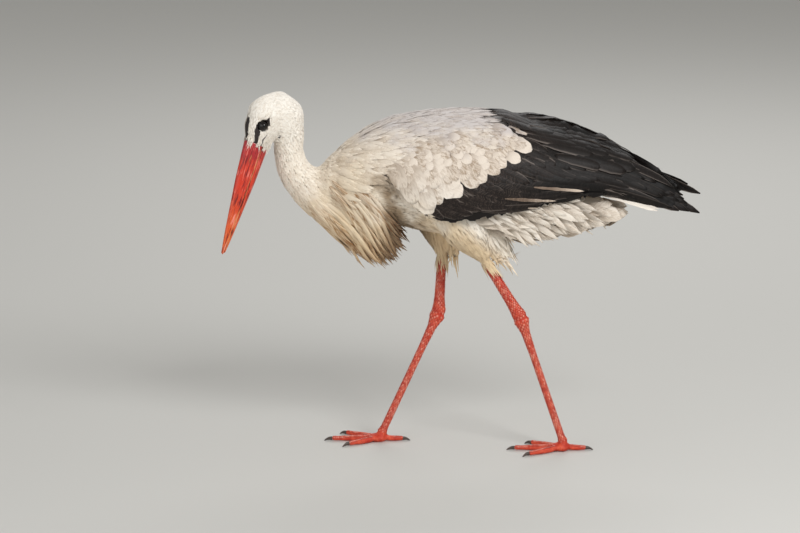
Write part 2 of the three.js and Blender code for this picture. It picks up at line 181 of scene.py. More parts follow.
paper, tree = material("pale backdrop paper")
surfaced(tree, {"Base Color": tone("#cccbc7"), "Roughness": 0.9})
floor_shape = bmesh.new()
bmesh.ops.create_grid(floor_shape, x_segments=1, y_segments=1, size=FLOOR_HALF)
floor = mesh_object("floor", mesh_of("floor", floor_shape))
floor.data.materials.append(paper)
print("floor and", len(bpy.data.lights), "lamps")

# %% [markdown]
# ## The bird's own axes
# The head is turned and tipped, so its parts are easiest to place in the head's own directions: ahead along
# the bill, over towards the forehead, and out to the left. They come from the frame's eyes and bill.


# %% Places in the frame
def unit(v):
    """The same directions with length one."""
    v = np.asarray(v, float)
    return v / np.maximum(np.linalg.norm(v, axis=-1, keepdims=True), 1e-12)


def centre(node):
    """The middle of a CAD node's box."""
    low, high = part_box(node)
    return (np.array(low) + np.array(high)) / 2


def array_of(parts, field, columns, kind=np.float32):
    """One field of all the vertices, edges or corners of a mesh."""
    flat = np.empty(len(parts) * columns, kind)
    parts.foreach_get(field, flat)
    return flat.reshape(-1, columns)


def places(mesh):
    """A mesh's vertices as an array."""
    return array_of(mesh.vertices, "co", 3).astype(float)


def node_places(node):
    """A CAD node's vertices as an array."""
    return places(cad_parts[node].data)


def end_of(node, span, top=True):
    """The middle of the top or bottom few millimetres of a CAD node."""
    points = node_places(node)
    z = points[:, 2]
    return points[z > z.max() - span * MM if top else z < z.min() + span * MM].mean(axis=0)


print("frame has", len(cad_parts), "nodes")

# %% Axes of the head
EYE_OVER = 7.5 * MM  # the eyes sit this far above the bill's axis
eyes = {side: centre(f"eye_{side}") for side in SIDES}
between_eyes = (eyes["left"] + eyes["right"]) / 2
bill_points = node_places("bill_upper")
bill_tip = bill_points[np.argmin(bill_points[:, 2])]
to_left = unit(eyes["left"] - eyes["right"])
to_tip = unit(bill_tip - between_eyes)
droop = math.asin(EYE_OVER / np.linalg.norm(bill_tip - between_eyes))
ahead = math.cos(droop) * to_tip + math.sin(droop) * np.cross(to_tip, to_left)
over = np.cross(ahead, to_left)
head_origin = between_eyes - EYE_OVER * over
HEAD_AXES = np.array([ahead, over, to_left])


def in_head(points):
    """Points as (ahead, over, left) of the head, in millimetres."""
    return (np.asarray(points) - head_origin) @ HEAD_AXES.T / MM


def on_head(a, o, l):
    """The place of a point given as (ahead, over, left) of the head, in millimetres."""
    return head_origin + MM * (a * ahead + o * over + l * to_left)


print("bill points", ahead.round(3), "and the forehead faces", over.round(3))

# %% [markdown]
# ## One skin
# A bird's skin is one sheet from the face to the toes, and the coat grows out of it. The CAD pieces of flesh
# are copied, pushed out by a hair so that they run into each other, and turned into one surface by a voxel
# remesh. That surface is smoothed, pushed in by the depth of the coat, and remeshed once more, which is
# simpler than sewing forty meshes together by hand.

# %% Which pieces are flesh, and how deep the coat over each is, in millimetres
LEG_PARTS = ["shank_{}", "tarsus_{}", "foot_{}"] + [f"toe_{{}}_{toe}" for toe in TOES]
BARE_LEGS = [part.format(side) for side in SIDES for part in LEG_PARTS]
COAT_DEPTH = {"head": 1.6, "neck_upper": 3.5, "neck_lower": 5, "trunk": 7}
COAT_DEPTH |= {f"thigh_{side}": 6 for side in SIDES}
COAT_DEPTH |= {f"wing_{side}_coverts": 3.5 for side in SIDES}
COAT_DEPTH |= dict.fromkeys(BARE_LEGS, 0)
FLESH = list(COAT_DEPTH)
FUSE = 0.6  # how far each copy is pushed out so that neighbours meet, in millimetres
VOXEL = 1.7 * MM
FLESH_ROUNDS, DEPTH_ROUNDS, SKIN_ROUNDS, JOIN_ROUNDS = 10, 25, 8, 40  # rounds of smoothing

print(len(FLESH), "pieces of flesh")


# %% Mesh helpers
def applied(holder):
    """A copy of an object's mesh with its modifiers applied; the object itself goes."""
    depsgraph = bpy.context.evaluated_depsgraph_get()
    mesh = bpy.data.meshes.new_from_object(holder.evaluated_get(depsgraph))
    bpy.data.objects.remove(holder)
    return mesh


def remeshed(mesh, voxel):
    """The outside of a mesh as one even surface."""
    holder = mesh_object("remesh", mesh)
    modifier = holder.modifiers.new("voxels", "REMESH")
    modifier.mode = "VOXEL"
    modifier.voxel_size = voxel
    return applied(holder)


def edges_of(mesh):
    """A mesh's edges as pairs of vertex numbers."""
    return array_of(mesh.edges, "vertices", 2, np.int32)


def averaged(values, edges):
    """Each vertex's mean over its neighbours."""
    values = values.reshape(len(values), -1)
    first, second = edges.T
    count = np.bincount(edges.ravel(), minlength=len(values))
    total = np.zeros_like(values)
    for i in range(values.shape[1]):
        total[:, i] += np.bincount(first, values[second, i], len(values))
        total[:, i] += np.bincount(second, values[first, i], len(values))
    return total / np.maximum(count, 1)[:, None]


def smoothed(points, edges, rounds):
    """Points smoothed without shrinking: each round pulls them in and pushes them out again."""
    for _ in range(rounds):
        for pull in (0.5, -0.52):
            points = points + pull * (averaged(points, edges) - points)
    return points


def normals(mesh):
    """A mesh's vertex normals as an array."""
    return array_of(mesh.vertex_normals, "vector", 3).astype(float)


def set_places(mesh, points):
    """Moves a mesh's vertices."""
    mesh.vertices.foreach_set("co", points.astype(np.float32).ravel())
    mesh.update()


print("mesh helpers ready")

# %% Gather the flesh and fuse it
flesh = bmesh.new()
for node in FLESH:
    piece = bmesh.new()
    piece.from_mesh(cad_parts[node].data)
    bmesh.ops.remove_doubles(piece, verts=piece.verts, dist=1e-6)
    piece.normal_update()
    for vertex in piece.verts:
        vertex.co += FUSE * MM * vertex.normal
    grown = mesh_of(node, piece)
    flesh.from_mesh(grown)
    bpy.data.meshes.remove(grown)

# The feathered skin of the chin reaches forward under the root of the lower mandible.
CHIN_AT = (27, -12.5, 0)  # on the head, in millimetres, as the half sizes below
CHIN = (12.5, 8.5, 10)
chin = bmesh.ops.create_icosphere(flesh, subdivisions=3, radius=1)["verts"]
chin_shape = Matrix(np.array([half * MM * axis for half, axis in zip(CHIN, HEAD_AXES)]).T.tolist()).to_4x4()
bmesh.ops.transform(flesh, matrix=Matrix.Translation(on_head(*CHIN_AT)) @ chin_shape, verts=chin)

# The heel stands out behind the leg, between the two bones that meet in it.
HEEL = (10.5, 9, 12.5)  # half the size of the knob, in millimetres
HEEL_SPAN = 14  # how much of each bone's end is heel
HEEL_BACK = 1.5  # how far the knob stands back
for side in SIDES:
    bones = end_of(f"shank_{side}", HEEL_SPAN, top=False) + end_of(f"tarsus_{side}", HEEL_SPAN)
    heel = bones / 2 + (HEEL_BACK * MM, 0, 0)
    knob = bmesh.ops.create_icosphere(flesh, subdivisions=3, radius=MM)["verts"]
    bmesh.ops.transform(flesh, matrix=Matrix.LocRotScale(heel, None, Vector(HEEL)), verts=knob)
fused = remeshed(mesh_of("flesh", flesh), VOXEL)
edges = edges_of(fused)
set_places(fused, smoothed(places(fused), edges, FLESH_ROUNDS))
print("fused flesh:", len(fused.vertices), "vertices")


# %% Name the CAD piece under each point
def joined_triangles(nodes):
    """All triangles of some CAD nodes, with the node each belongs to."""
    points, triangles, owner = [], [], []
    for i, node in enumerate(nodes):
        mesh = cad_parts[node].data
        corners = array_of(mesh.loops, "vertex_index", 1, np.int32).reshape(-1, 3)
        triangles.append(corners + sum(len(p) for p in points))
        points.append(places(mesh))
        owner += [i] * len(corners)
    return np.vstack(points), np.vstack(triangles), np.array(owner)


def tree_of(points, triangles):
    """A search tree over triangles."""
    return BVHTree.FromPolygons(points.tolist(), triangles.tolist(), epsilon=0)


def nearest(tree, points):
    """For each point the nearest spot on a surface: (places, face numbers)."""
    found = [tree.find_nearest(p) for p in points.tolist()]
    return np.array([f[0] for f in found]).reshape(-1, 3), np.array([f[2] for f in found], int)


def rays(tree, origins, aims, reach=100):
    """Where rays first meet a surface within some metres: (hit or not, places, face numbers)."""
    found = [tree.ray_cast(Vector(o), Vector(a), reach) for o, a in zip(origins, aims)]
    hit = np.array([f[0] is not None for f in found], bool)
    spots = np.array([f[0] or (0, 0, 0) for f in found], float).reshape(-1, 3)
    return hit, spots, np.array([f[2] or 0 for f in found], int)


Ground = namedtuple("Ground", "points corners tree facing")


def ground_of(mesh):
    """What later steps need of a surface: its points, triangles, a search tree and where it faces."""
    mesh.calc_loop_triangles()
    corners = array_of(mesh.loop_triangles, "vertices", 3, np.int32)
    points = places(mesh)
    return Ground(points, corners, tree_of(points, corners), unit(normals(mesh)[corners].mean(axis=1)))


flesh_points, flesh_triangles, flesh_owner = joined_triangles(FLESH)
flesh_tree = tree_of(flesh_points, flesh_triangles)
_, face = nearest(flesh_tree, places(fused))
depth = np.array([COAT_DEPTH[node] for node in FLESH])[flesh_owner[face]] + FUSE
for _ in range(DEPTH_ROUNDS):
    depth = averaged(depth, edges)[:, 0]


def wall(mesh):
    """How thick a closed form is under each of its vertices, in millimetres."""
    whole = ground_of(mesh)
    inward = zip(whole.points - 0.1 * MM * normals(mesh), -normals(mesh))
    return np.array([whole.tree.ray_cast(Vector(p), Vector(n))[3] or 1 for p, n in inward]) / MM


# Where the flesh is thin, as in the ragged hem of the thighs, the skin goes in by less.
OF_WALL = 0.3
depth = np.minimum(depth, OF_WALL * wall(fused))
for _ in range(3):
    depth = averaged(depth, edges)[:, 0]
set_places(fused, places(fused) - MM * depth[:, None] * normals(fused))
skin_mesh = remeshed(fused, VOXEL)
edges = edges_of(skin_mesh)
points = smoothed(places(skin_mesh), edges, SKIN_ROUNDS)

# Corners left by the joins of the CAD pieces are rounded off: each is a place, then how far round it the
# skin is smoothed and by how much it is raised first, in millimetres.
set_places(skin_mesh, points)
outward = unit(normals(skin_mesh))
JOINS = {
    "forehead": ((-0.318, -0.012, 0.571), 22, -3.6),
    "back of the crown": ((-0.275, -0.010, 0.578), 13, -2.0),
    "far brow": (on_head(10, 21, -9), 16, 3.4),
    "crown": ((-0.291, -0.010, 0.577), 14, 2.4),
    "nape": ((-0.256, -0.008, 0.545), 24, 3.0),
    "back of the neck": ((-0.250, -0.004, 0.508), 22, 2.6),
    "foot of the neck": ((-0.225, 0, 0.462), 34, 0.6),
    "between the shoulders": ((-0.176, 0, 0.490), 26, 3.0),
}
for place, reach, raised in JOINS.values():
    near = np.clip(2 - 2 * np.linalg.norm(points - place, axis=1) / (reach * MM), 0, 1)[:, None]
    points = points + raised * MM * near * outward
    for _ in range(JOIN_ROUNDS):
        points = points + 0.6 * near * (averaged(points, edges) - points)
set_places(skin_mesh, points)
print("skin:", len(skin_mesh.vertices), "vertices")

# %% Thin the body's mesh, where feathers will hide it
def flesh_under(mesh):
    """The name of the CAD piece under each vertex of a mesh."""
    _, faces = nearest(flesh_tree, places(mesh))
    return np.array(FLESH)[flesh_owner[faces]]


SKIN_TRIANGLES_LEFT = 0.4
fine = np.isin(flesh_under(skin_mesh), ["head"] + BARE_LEGS)
holder = mesh_object("thinning", skin_mesh)
group = holder.vertex_groups.new(name="coated")
group.add(np.flatnonzero(~fine).tolist(), 1.0, "REPLACE")
thinning = holder.modifiers.new("thin", "DECIMATE")
thinning.ratio = SKIN_TRIANGLES_LEFT
thinning.vertex_group = group.name
skin_mesh = applied(holder)
print("skin thinned to", len(skin_mesh.polygons), "faces")

# %% [markdown]
# ## Lids round the eyes
# The eye of a bird is a large ball, of which the lids leave only a small round opening. Here the skin near
# each eye is divided finely and moved along the line of sight: inside the opening it dives behind the ball,
# at the rim it lies on the ball as a thick lid, and further out it runs back into the face over two folds.

# %% Shape the lids
EYE_RADIUS = 8.5  # millimetres, as the lengths below
OPENING = np.array([5.5, 4.7])  # half the opening, along the head and across it
LID = 0.8  # the lid's thickness over the ball
SOCKET = 1.6  # how far behind the ball the skin dives in the opening
LID_FIELD = 8  # how far beyond the ball the skin is moved
FOLDS = ((1.5, 0.35, 0.09), (1.85, 0.25, 0.1))  # how many openings out, how deep and how wide


def line_of_sight(side):
    """Which way an eye looks: outwards, and a little forwards and up."""
    return unit(0.10 * ahead + 0.30 * over - SIDES[side] * 0.95 * to_left)


def eye_view(points, side):
    """Points as seen along an eye's line of sight, in millimetres: (ahead, over, towards the viewer)."""
    sight = line_of_sight(side)
    along = unit(ahead - sight * (ahead @ sight))
    upward = np.cross(sight, along)
    upward *= np.sign(upward @ over)
    return (points - eyes[side]) @ np.array([along, upward, sight]).T / MM


def ramp(x, start, end):
    """A smooth step from 0 at start to 1 at end."""
    t = np.clip((x - start) / (end - start), 0, 1)
    return t * t * (3 - 2 * t)


LIDS_WITHIN = 19  # millimetres from the middle of the eye
shape = bmesh.new()
shape.from_mesh(skin_mesh)
for side in SIDES:
    close = [v for v in shape.verts if (Vector(eyes[side]) - v.co).length < LIDS_WITHIN * MM]
    near = {v for v in close if eye_view(np.array(v.co), side)[2] > 0}
    rims = [e for e in shape.edges if e.verts[0] in near and e.verts[1] in near]
    bmesh.ops.subdivide_edges(shape, edges=rims, cuts=3, use_grid_fill=True)
bmesh.ops.triangulate(shape, faces=shape.faces[:])
shape.to_mesh(skin_mesh)
shape.free()
points = places(skin_mesh)
for side in SIDES:
    x, y, z = eye_view(points, side).T
    radius = np.hypot(x, y)
    reach = np.hypot(x / OPENING[0], y / OPENING[1])  # 1 on the rim of the opening
    near = (z > 0) & (radius < EYE_RADIUS + LID_FIELD)
    ball = np.sqrt(np.maximum(EYE_RADIUS**2 - radius**2, 0))
    behind = np.sqrt(np.maximum((EYE_RADIUS - SOCKET) ** 2 - radius**2, 0))
    lid = ball + LID - 0.25 * ramp(reach, 1.15, 1.5)
    inside = 1 - ramp(reach, 0.93, 1.03)
    outside = ramp(reach, 1.35, 2.0)
    folds = sum(deep * np.exp(-(((reach - out) / wide) ** 2)) for out, deep, wide in FOLDS)
    target = inside * behind + (1 - inside) * ((1 - outside) * lid + outside * z) - folds
    move = np.where(near, target - z, 0)
    points = points + MM * move[:, None] * line_of_sight(side)
set_places(skin_mesh, points)
print("skin with lids:", len(skin_mesh.polygons), "triangles")

# %% [markdown]
# ## Where the skin is bare
# A white stork's eye sits in a patch of bare black skin that runs forward to the bill and back in a point;
# the right eye's patch also runs up the forehead as a band that is partly painted shade. The corner of the
# mouth is a thin dark line, the fold behind the left cheek is painted black as its shadow, and the legs are
# bare below the feathered thighs. Each of these is worked out from a place on the head or leg, and kept on
# the skin as a number from 0 to 1 that the material reads and that the coat keeps clear of.


# %% Bare patches
OUTSIDE = -9  # any negative number, for places that no patch reaches
CHEEK = 7  # the sides of the head begin this far from its middle, in millimetres
# The right patch's band up the forehead reaches further than a stork's bare skin: partly painted shade.
FAR_BAND = 13  # how much further up the right patch runs, in millimetres


def in_band(a, o, stops, middles, halves):
    """How far inside a band along the head some points are: its middle and half width at a few stops."""
    middle = np.interp(a, stops, middles)
    return np.interp(a, stops, halves) - np.abs(o - middle), middle


def mask_edge(points):
    """How far inside the black patch round the eye a point is, in millimetres; negative outside it."""
    a, o, l = in_head(points).T
    reach, middle = in_band(
        a, o,
        [-21, -17, -10, -6, -2, 2, 6, 9, 12, 18, 26, 36],
        [7, 6.4, 5.6, 7.2, 8.2, 9.3, 11.0, 12.2, 12.4, 11.6, 8.6, 8],
        [0, 1.2, 2.9, 6.6, 8.8, 8.8, 7.4, 5.2, 4.4, 3.9, 3.0, 2.6],
    )
    # Up the forehead the right eye's patch is widened into a band, partly as painted shade.
    right = np.interp(a, [-20, 0], [-3, 3.5])  # the right eye's patch shows as a band up the forehead
    reach = np.where((l < right) & (l > -CHEEK) & (o > middle), reach + FAR_BAND, reach)
    return np.where(((l > CHEEK) | (l < right)) & (a > -21) & (a < 40), reach, OUTSIDE)


def gape_edge(points):
    """The same for the dark line behind the corner of the mouth."""
    a, o, l = in_head(points).T
    reach, _ = in_band(a, o, [4, 8, 22, 36], [-5.2, -4.0, 0.2, -2.5], [0, 0.7, 1.1, 1.4])
    return np.where((np.abs(l) > CHEEK) & (a > 4) & (a < 38), reach, OUTSIDE)


def fold_shadow_edge(points):
    """The same for the fold between the left cheek and the neck, whose black skin is its painted shadow."""
    top, bottom = np.array([-0.2838, 0.5105]), np.array([-0.2885, 0.5015])  # in the side view
    from_top, run = points[:, (0, 2)] - top, bottom - top
    share = np.clip(from_top @ run / (run @ run), 0, 1)
    gap = np.linalg.norm(from_top - share[:, None] * run, axis=1) / MM
    return np.where(points[:, 1] < -0.012, 1.5 - gap, OUTSIDE)


def keep(mesh, name, values):
    """Stores a number or a vector for each vertex."""
    kind, field = ("FLOAT_VECTOR", "vector") if values.ndim > 1 else ("FLOAT", "value")
    layer = mesh.attributes.new(name, kind, "POINT")
    layer.data.foreach_set(field, values.astype(np.float32).ravel())


edges = edges_of(skin_mesh)
points = places(skin_mesh)
skin_node = flesh_under(skin_mesh)
bare_leg = np.isin(skin_node, BARE_LEGS).astype(float)
for _ in range(4):
    bare_leg = averaged(bare_leg, edges)[:, 0]
# Each mark begins and is full so far inside its edge, in millimetres.
marks = ((mask_edge, -0.3, 0.5), (gape_edge, -0.2, 0.4), (fold_shadow_edge, -0.4, 0.6))
bare_face_and_shade = np.max([ramp(edge(points), start, end) for edge, start, end in marks], axis=0)
keep(skin_mesh, "bare_leg", bare_leg)
keep(skin_mesh, "bare_face_and_shade", bare_face_and_shade)
print("bare face vertices:", int((bare_face_and_shade > 0.5).sum()))

# %% [markdown]
# ## The plumage's colours
# A white stork is not one white: the crown and neck are a clean cream, the upper side is cooler and the
# mantle a grey-lilac white, partly as painted shade on the surfaces that face up, and the breast, belly and
# thighs are stained tan by the ground it feeds on. A band behind the beard and a patch at the wrist are
# darker still, partly stain and partly painted shade. These marks are one node group on Object
# coordinates, so that the skin and every white feather over it agree.


# %% Marks and painted shade shared by skin and coat
PATCH = 28 * MM  # patches of stain and of painted shade are a few centimetres across
WAVER = 0.09  # metres between the highest and the lowest shift that they give to an edge
WRIST = (-0.122, 0.088, 0.446)  # metres, on either side; the dark patch there, partly stain and partly painted shade, reaches out to 30 mm

# Besides stains, the group paints shade into the plumage: on the upper side, at the wrist and behind the
# beard.
plumage_marks_and_shade = bpy.data.node_groups.new("white plumage markings", "ShaderNodeTree")
plumage_marks_and_shade.interface.new_socket("Color", in_out="OUTPUT", socket_type="NodeSocketColor")
spot = add(plumage_marks_and_shade, "TexCoord").outputs["Object"]
x, y, z = add(plumage_marks_and_shade, "SeparateXYZ", {0: spot}).outputs
wavering = add(plumage_marks_and_shade, "Math", {
    0: add(plumage_marks_and_shade, "TexNoise", {"Vector": spot, "Scale": 1 / PATCH, "Detail": 2.0}),
    1: WAVER,
    2: -WAVER / 2,
}, operation="MULTIPLY_ADD")
height = add(plumage_marks_and_shade, "Math", {0: z, 1: wavering}, operation="ADD")


def marked(colour, factor, mark, *limits):
    """A colour with a mark over it, as strong as the factor and inside smooth limits (value, out, in)."""
    for value, outer, inner in limits:
        inside = add(plumage_marks_and_shade, "MapRange", {0: value, 1: outer, 2: inner}, interpolation_type="SMOOTHSTEP")
        if factor is not None:
            inside = add(plumage_marks_and_shade, "Math", {0: factor, 1: inside}, operation="MULTIPLY")
        factor = inside
    return add(plumage_marks_and_shade, "Mix", {0: factor, 6: colour, 7: mark}, data_type="RGBA")


behind_neck = (x, -0.23, -0.17)
on_body = (x, -0.30, -0.24)
ahead_of_wing = (x, -0.05, -0.20)
# The cooler upper side and greyer mantle are partly painted shade on the surfaces that face up.
colour = marked("#fcf7ee", None, "#e9dfd2", (height, 0.40, 0.47), behind_neck)  # the upper side is cooler
colour = marked(colour, None, "#d0c9c6", (height, 0.49, 0.54), behind_neck)  # and the mantle the coolest
past_neck = add(plumage_marks_and_shade, "Math", {
    0: add(plumage_marks_and_shade, "MapRange", {0: x, 1: -0.25, 2: -0.19}, interpolation_type="SMOOTHSTEP"),
    1: 0.45,
    2: 0.35,
}, operation="MULTIPLY_ADD")
colour = marked(colour, past_neck, "#e7d5b8", (height, 0.53, 0.42), ahead_of_wing)  # the shoulder
behind_thigh = add(plumage_marks_and_shade, "MapRange", {
    0: add(plumage_marks_and_shade, "Math", {0: z, 1: 0.92, 2: x}, operation="MULTIPLY_ADD"),
    1: 0.332,
    2: 0.368,
}, interpolation_type="SMOOTHSTEP")
less_behind = add(plumage_marks_and_shade, "Math", {0: behind_thigh, 1: -0.75, 2: 1.0}, operation="MULTIPLY_ADD")
colour = marked(colour, less_behind, "#e8d1ad", (height, 0.445, 0.325), on_body)  # breast, belly and thighs
# The wrist's brown-grey patch is partly stain and partly painted shade on the wing's leading edge.
mirrored = add(plumage_marks_and_shade, "CombineXYZ", {0: x, 1: add(plumage_marks_and_shade, "Math", {0: y}, operation="ABSOLUTE"), 2: z})
to_wrist = add(plumage_marks_and_shade, "VectorMath", {0: mirrored, 1: WRIST}, operation="DISTANCE")
round_wrist = add(plumage_marks_and_shade, "Math", {0: to_wrist.outputs["Value"], 1: wavering}, operation="ADD")
colour = marked(colour, 0.6, "#967f64", (round_wrist, 0.030, 0.010))
# The darker band behind the beard runs aslant: partly stain, partly painted shade of the beard and the wing
# over the belly.
sloped = add(plumage_marks_and_shade, "Math", {0: x, 1: 1.15, 2: height}, operation="MULTIPLY_ADD")
on_breast = ((x, -0.130, -0.112), (x, -0.035, -0.060))
colour = marked(colour, 0.85, "#947b5d", (sloped, 0.312, 0.270), *on_breast)
end = plumage_marks_and_shade.nodes.new("NodeGroupOutput")
plumage_marks_and_shade.links.new(colour.outputs[2], end.inputs[0])
print("markings:", len(plumage_marks_and_shade.nodes), "nodes")

# %% [markdown]
# ## What a feather is made of
# A feather is keratin: a shaft, and on both sides of it barbs a fraction of a millimetre apart that lean
# towards the tip and cling together in a sheet, which splits into strands where it wears. Each vane carries
# its own map in metres, across and along the shaft, and from it comes the pattern of strands, in colour and
# in bump. Real barbs are too fine to see at this distance, so they are drawn in strands about a millimetre
# wide, and the loose plumes of the breast in wider ones.


# %% Feather materials
STRAND_RUN = 8  # how many times its width a strand runs before it changes
FLECK = (3 * MM, 10 * MM)  # worn and dirty streaks, across and along a vane


def vane_map(tree):
    """Where a point is on its own vane, in metres: across the shaft and along it."""
    return add(tree, "SeparateXYZ", {0: add(tree, "UVMap", uv_map="vane").outputs[0]}).outputs


def strands(tree, width, lean):
    """A noise in strands, the distance from the shaft, and the vane's own numbers: one at random, the place
    along it and the place across it."""
    across, up, _ = vane_map(tree)
    out = add(tree, "Math", {0: across}, operation="ABSOLUTE")
    along = add(tree, "Math", {
        0: up,
        1: add(tree, "Math", {0: out, 1: lean}, operation="MULTIPLY"),
    }, operation="SUBTRACT")
    one = add(tree, "SeparateXYZ", {
        0: add(tree, "Attribute", attribute_name="feather").outputs["Vector"],
    }).outputs
    cells = (along, width), (out, STRAND_RUN * width)
    where = [add(tree, "Math", {0: value, 1: size}, operation="DIVIDE") for value, size in cells]
    noise = add(tree, "TexNoise", {
        "Vector": add(tree, "CombineXYZ", {
            0: where[0],
            1: where[1],
            2: add(tree, "Math", {0: one[0], 1: 50.0}, operation="MULTIPLY"),
        }),
        "Scale": 1.0,
        "Detail": 3.0,
    })
    return noise, out, one


def white_feather(
        name, strand, shade, contrast, stain_and_shade, stain_and_shade_span=(0.7, 0.1), lean=0.9, mottle=0.0, dull="#ffffff"):
    """Unpigmented keratin over the shared marks: matt, a little darker and warmer towards the root, partly
    as painted shade.
    """
    made, tree = material(name)
    noise, _, (random, along, across) = strands(tree, strand, lean)
    colour = add(tree, "Group", node_tree=plumage_marks_and_shade).outputs[0]
    gap = add(tree, "MapRange", {0: noise, 1: 0.62, 2: 0.38}, interpolation_type="SMOOTHSTEP")
    uneven = add(tree, "Math", {
        0: add(tree, "Math", {0: random, 1: 2.0}, operation="POWER"),
        1: 2.0 * contrast,
        2: 0.35 * contrast,
    }, operation="MULTIPLY_ADD")
    colour = add(tree, "Mix", {
        0: add(tree, "Math", {0: gap, 1: uneven}, operation="MULTIPLY"),
        6: colour,
        7: shade,
    }, data_type="RGBA", blend_type="MULTIPLY")
    # Darker towards the root, where the next feather lies over it: painted shade mixed with stain. The
    # breast plumes are stained towards the tip instead.
    root = add(tree, "MapRange", {0: along, 1: stain_and_shade_span[0], 2: stain_and_shade_span[1]}, interpolation_type="SMOOTHSTEP")
    colour = add(tree, "Mix", {
        0: add(tree, "Math", {0: root, 1: stain_and_shade}, operation="MULTIPLY"),
        6: colour,
        7: shade,
    }, data_type="RGBA", blend_type="MULTIPLY")
    if mottle:
        cut = vane_map(tree)
        where = [add(tree, "Math", {0: cut[i], 1: FLECK[i]}, operation="DIVIDE") for i in (0, 1)]
        flecks = add(tree, "TexNoise", {
            "Vector": add(tree, "CombineXYZ", {
                0: where[0],
                1: where[1],
                2: add(tree, "Math", {0: random, 1: 70.0}, operation="MULTIPLY"),
            }),
            "Scale": 1.0,
            "Detail": 4.0,
        })
        flecks = add(tree, "Math", {
            0: add(tree, "MapRange", {0: flecks, 1: 0.47, 2: 0.64}, interpolation_type="SMOOTHSTEP"),
            1: mottle,
        }, operation="MULTIPLY")
        flecks = add(tree, "Math", {
            0: flecks,
            1: add(tree, "MapRange", {0: random, 1: 0.1, 2: 0.5}, interpolation_type="SMOOTHSTEP"),
        }, operation="MULTIPLY")
        flecks = add(tree, "Math", {
            0: flecks,
            1: add(tree, "MapRange", {0: across, 1: 0.95, 2: 0.55}, interpolation_type="SMOOTHSTEP"),
        }, operation="MULTIPLY")
        colour = add(tree, "Mix", {0: flecks, 6: colour, 7: "#9c866d"}, data_type="RGBA")
    colour = add(tree, "Mix", {0: 1.0, 6: colour, 7: dull}, data_type="RGBA", blend_type="MULTIPLY")
    colour = add(tree, "Mix", {
        0: add(tree, "Math", {0: random, 1: 0.16}, operation="MULTIPLY"),
        6: colour,
        7: "#cdbfae",
    }, data_type="RGBA", blend_type="MULTIPLY")
    looks = {"Base Color": colour, "Roughness": 0.75, "Specular IOR Level": 0.3}
    looks |= {"Sheen Weight": 0.15, "Sheen Roughness": 0.5}
    surfaced(tree, looks, noise, 0.35, 0.4)
    return made


def black_feather(name, strand, gloss):
    """Melanin-black keratin: charcoal with a brown cast, and a dull gloss that catches along the barbs."""
    made, tree = material(name)
    noise, out, (random, _, across) = strands(tree, strand, 0.7)
    worn = add(tree, "MapRange", {0: noise, 1: 0.45, 2: 0.72}, interpolation_type="SMOOTHSTEP")
    rear = add(tree, "MapRange", {
        0: add(tree, "SeparateXYZ", {0: add(tree, "TexCoord").outputs["Object"]}).outputs[0],
        1: 0.04,
        2: 0.17,
    }, interpolation_type="SMOOTHSTEP")  # darker towards the rear
    paler_black = add(tree, "Mix", {0: worn, 6: "#191412", 7: "#514640"}, data_type="RGBA")
    fresh = add(tree, "Mix", {0: worn, 6: "#060504", 7: "#1d1917"}, data_type="RGBA")
    colour = add(tree, "Mix", {0: rear, 6: paler_black, 7: fresh}, data_type="RGBA")
    colour = add(tree, "Mix", {
        0: add(tree, "Math", {0: random, 1: 0.5}, operation="MULTIPLY"),
        6: colour,
        7: "#241b17",
    }, data_type="RGBA")
    # Paler along the outer edge of some feathers: partly real wear, partly a painted highlight of the gloss
    # along the edges.
    worn_edge_and_highlight = add(tree, "Math", {
        0: add(tree, "MapRange", {0: across, 1: 0.65, 2: 1.0}, interpolation_type="SMOOTHSTEP"),
        1: add(tree, "Math", {0: random, 1: 2.0}, operation="POWER"),
    }, operation="MULTIPLY")
    colour = add(tree, "Mix", {
        0: add(tree, "Math", {0: worn_edge_and_highlight, 1: 0.8}, operation="MULTIPLY"),
        6: colour,
        7: "#7d736c",
    }, data_type="RGBA")
    shaft = add(tree, "MapRange", {0: out, 1: 0.8 * MM, 2: 0.4 * MM}, interpolation_type="SMOOTHSTEP")
    colour = add(tree, "Mix", {
        0: add(tree, "Math", {0: shaft, 1: 0.6}, operation="MULTIPLY"),
        6: colour,
        7: "#0e0b0a",
    }, data_type="RGBA")
    surfaced(tree, {"Base Color": colour, "Roughness": gloss, "Specular IOR Level": 0.22}, noise, 0.6, 0.7)
    return made


CONTOUR = white_feather("white contour feather keratin", 0.9 * MM, "#b9a386", 0.14, 0.22)
COVERT = white_feather(
    "white wing covert keratin", 1.4 * MM, "#a39280", 0.35, 0.4, (0.8, 0.35), 2.2, 0.65, "#fbf9f8")
MANTLE = white_feather("white mantle feather keratin", 0.9 * MM, "#b9a386", 0.16, 0.25, mottle=0.15)
# The breast plumes are darker between their wide strands, as painted shade, and stained towards the tips.
PLUME = white_feather(  # in long loose strands
    "stained breast plume keratin with painted shade", 6 * MM, "#a9814f", 0.5, 0.5, (0.5, 1.0), 4.5)
FLUFF = white_feather(
    "loose undertail plume keratin", 1.3 * MM, "#a08c72", 0.3, 0.35, (0.9, 0.3), 2.0, 0.2, "#f6f4f3")
WEB = white_feather(
    "worn pale outer web keratin", 1.0 * MM, "#8d7f75", 0.5, 0.9, (0.95, 0.3), dull="#d9cfc7")
FLIGHT = black_feather("black flight feather keratin", 1.3 * MM, 0.5)
print("feather materials ready")

# %% [markdown]
# ## Bare skin, horn and eyes
# The legs are scaly skin, coloured red by carotenoids in the food and paler where the scales are worn; the
# creases between the scales and the rims of the plates are darker as painted shade. The bill is a sheath of
# horn over bone, polished by use and scratched lengthways. The skin round the eye is black and finely
# wrinkled, darker in the wrinkles as painted shade, and the eye itself is wet.


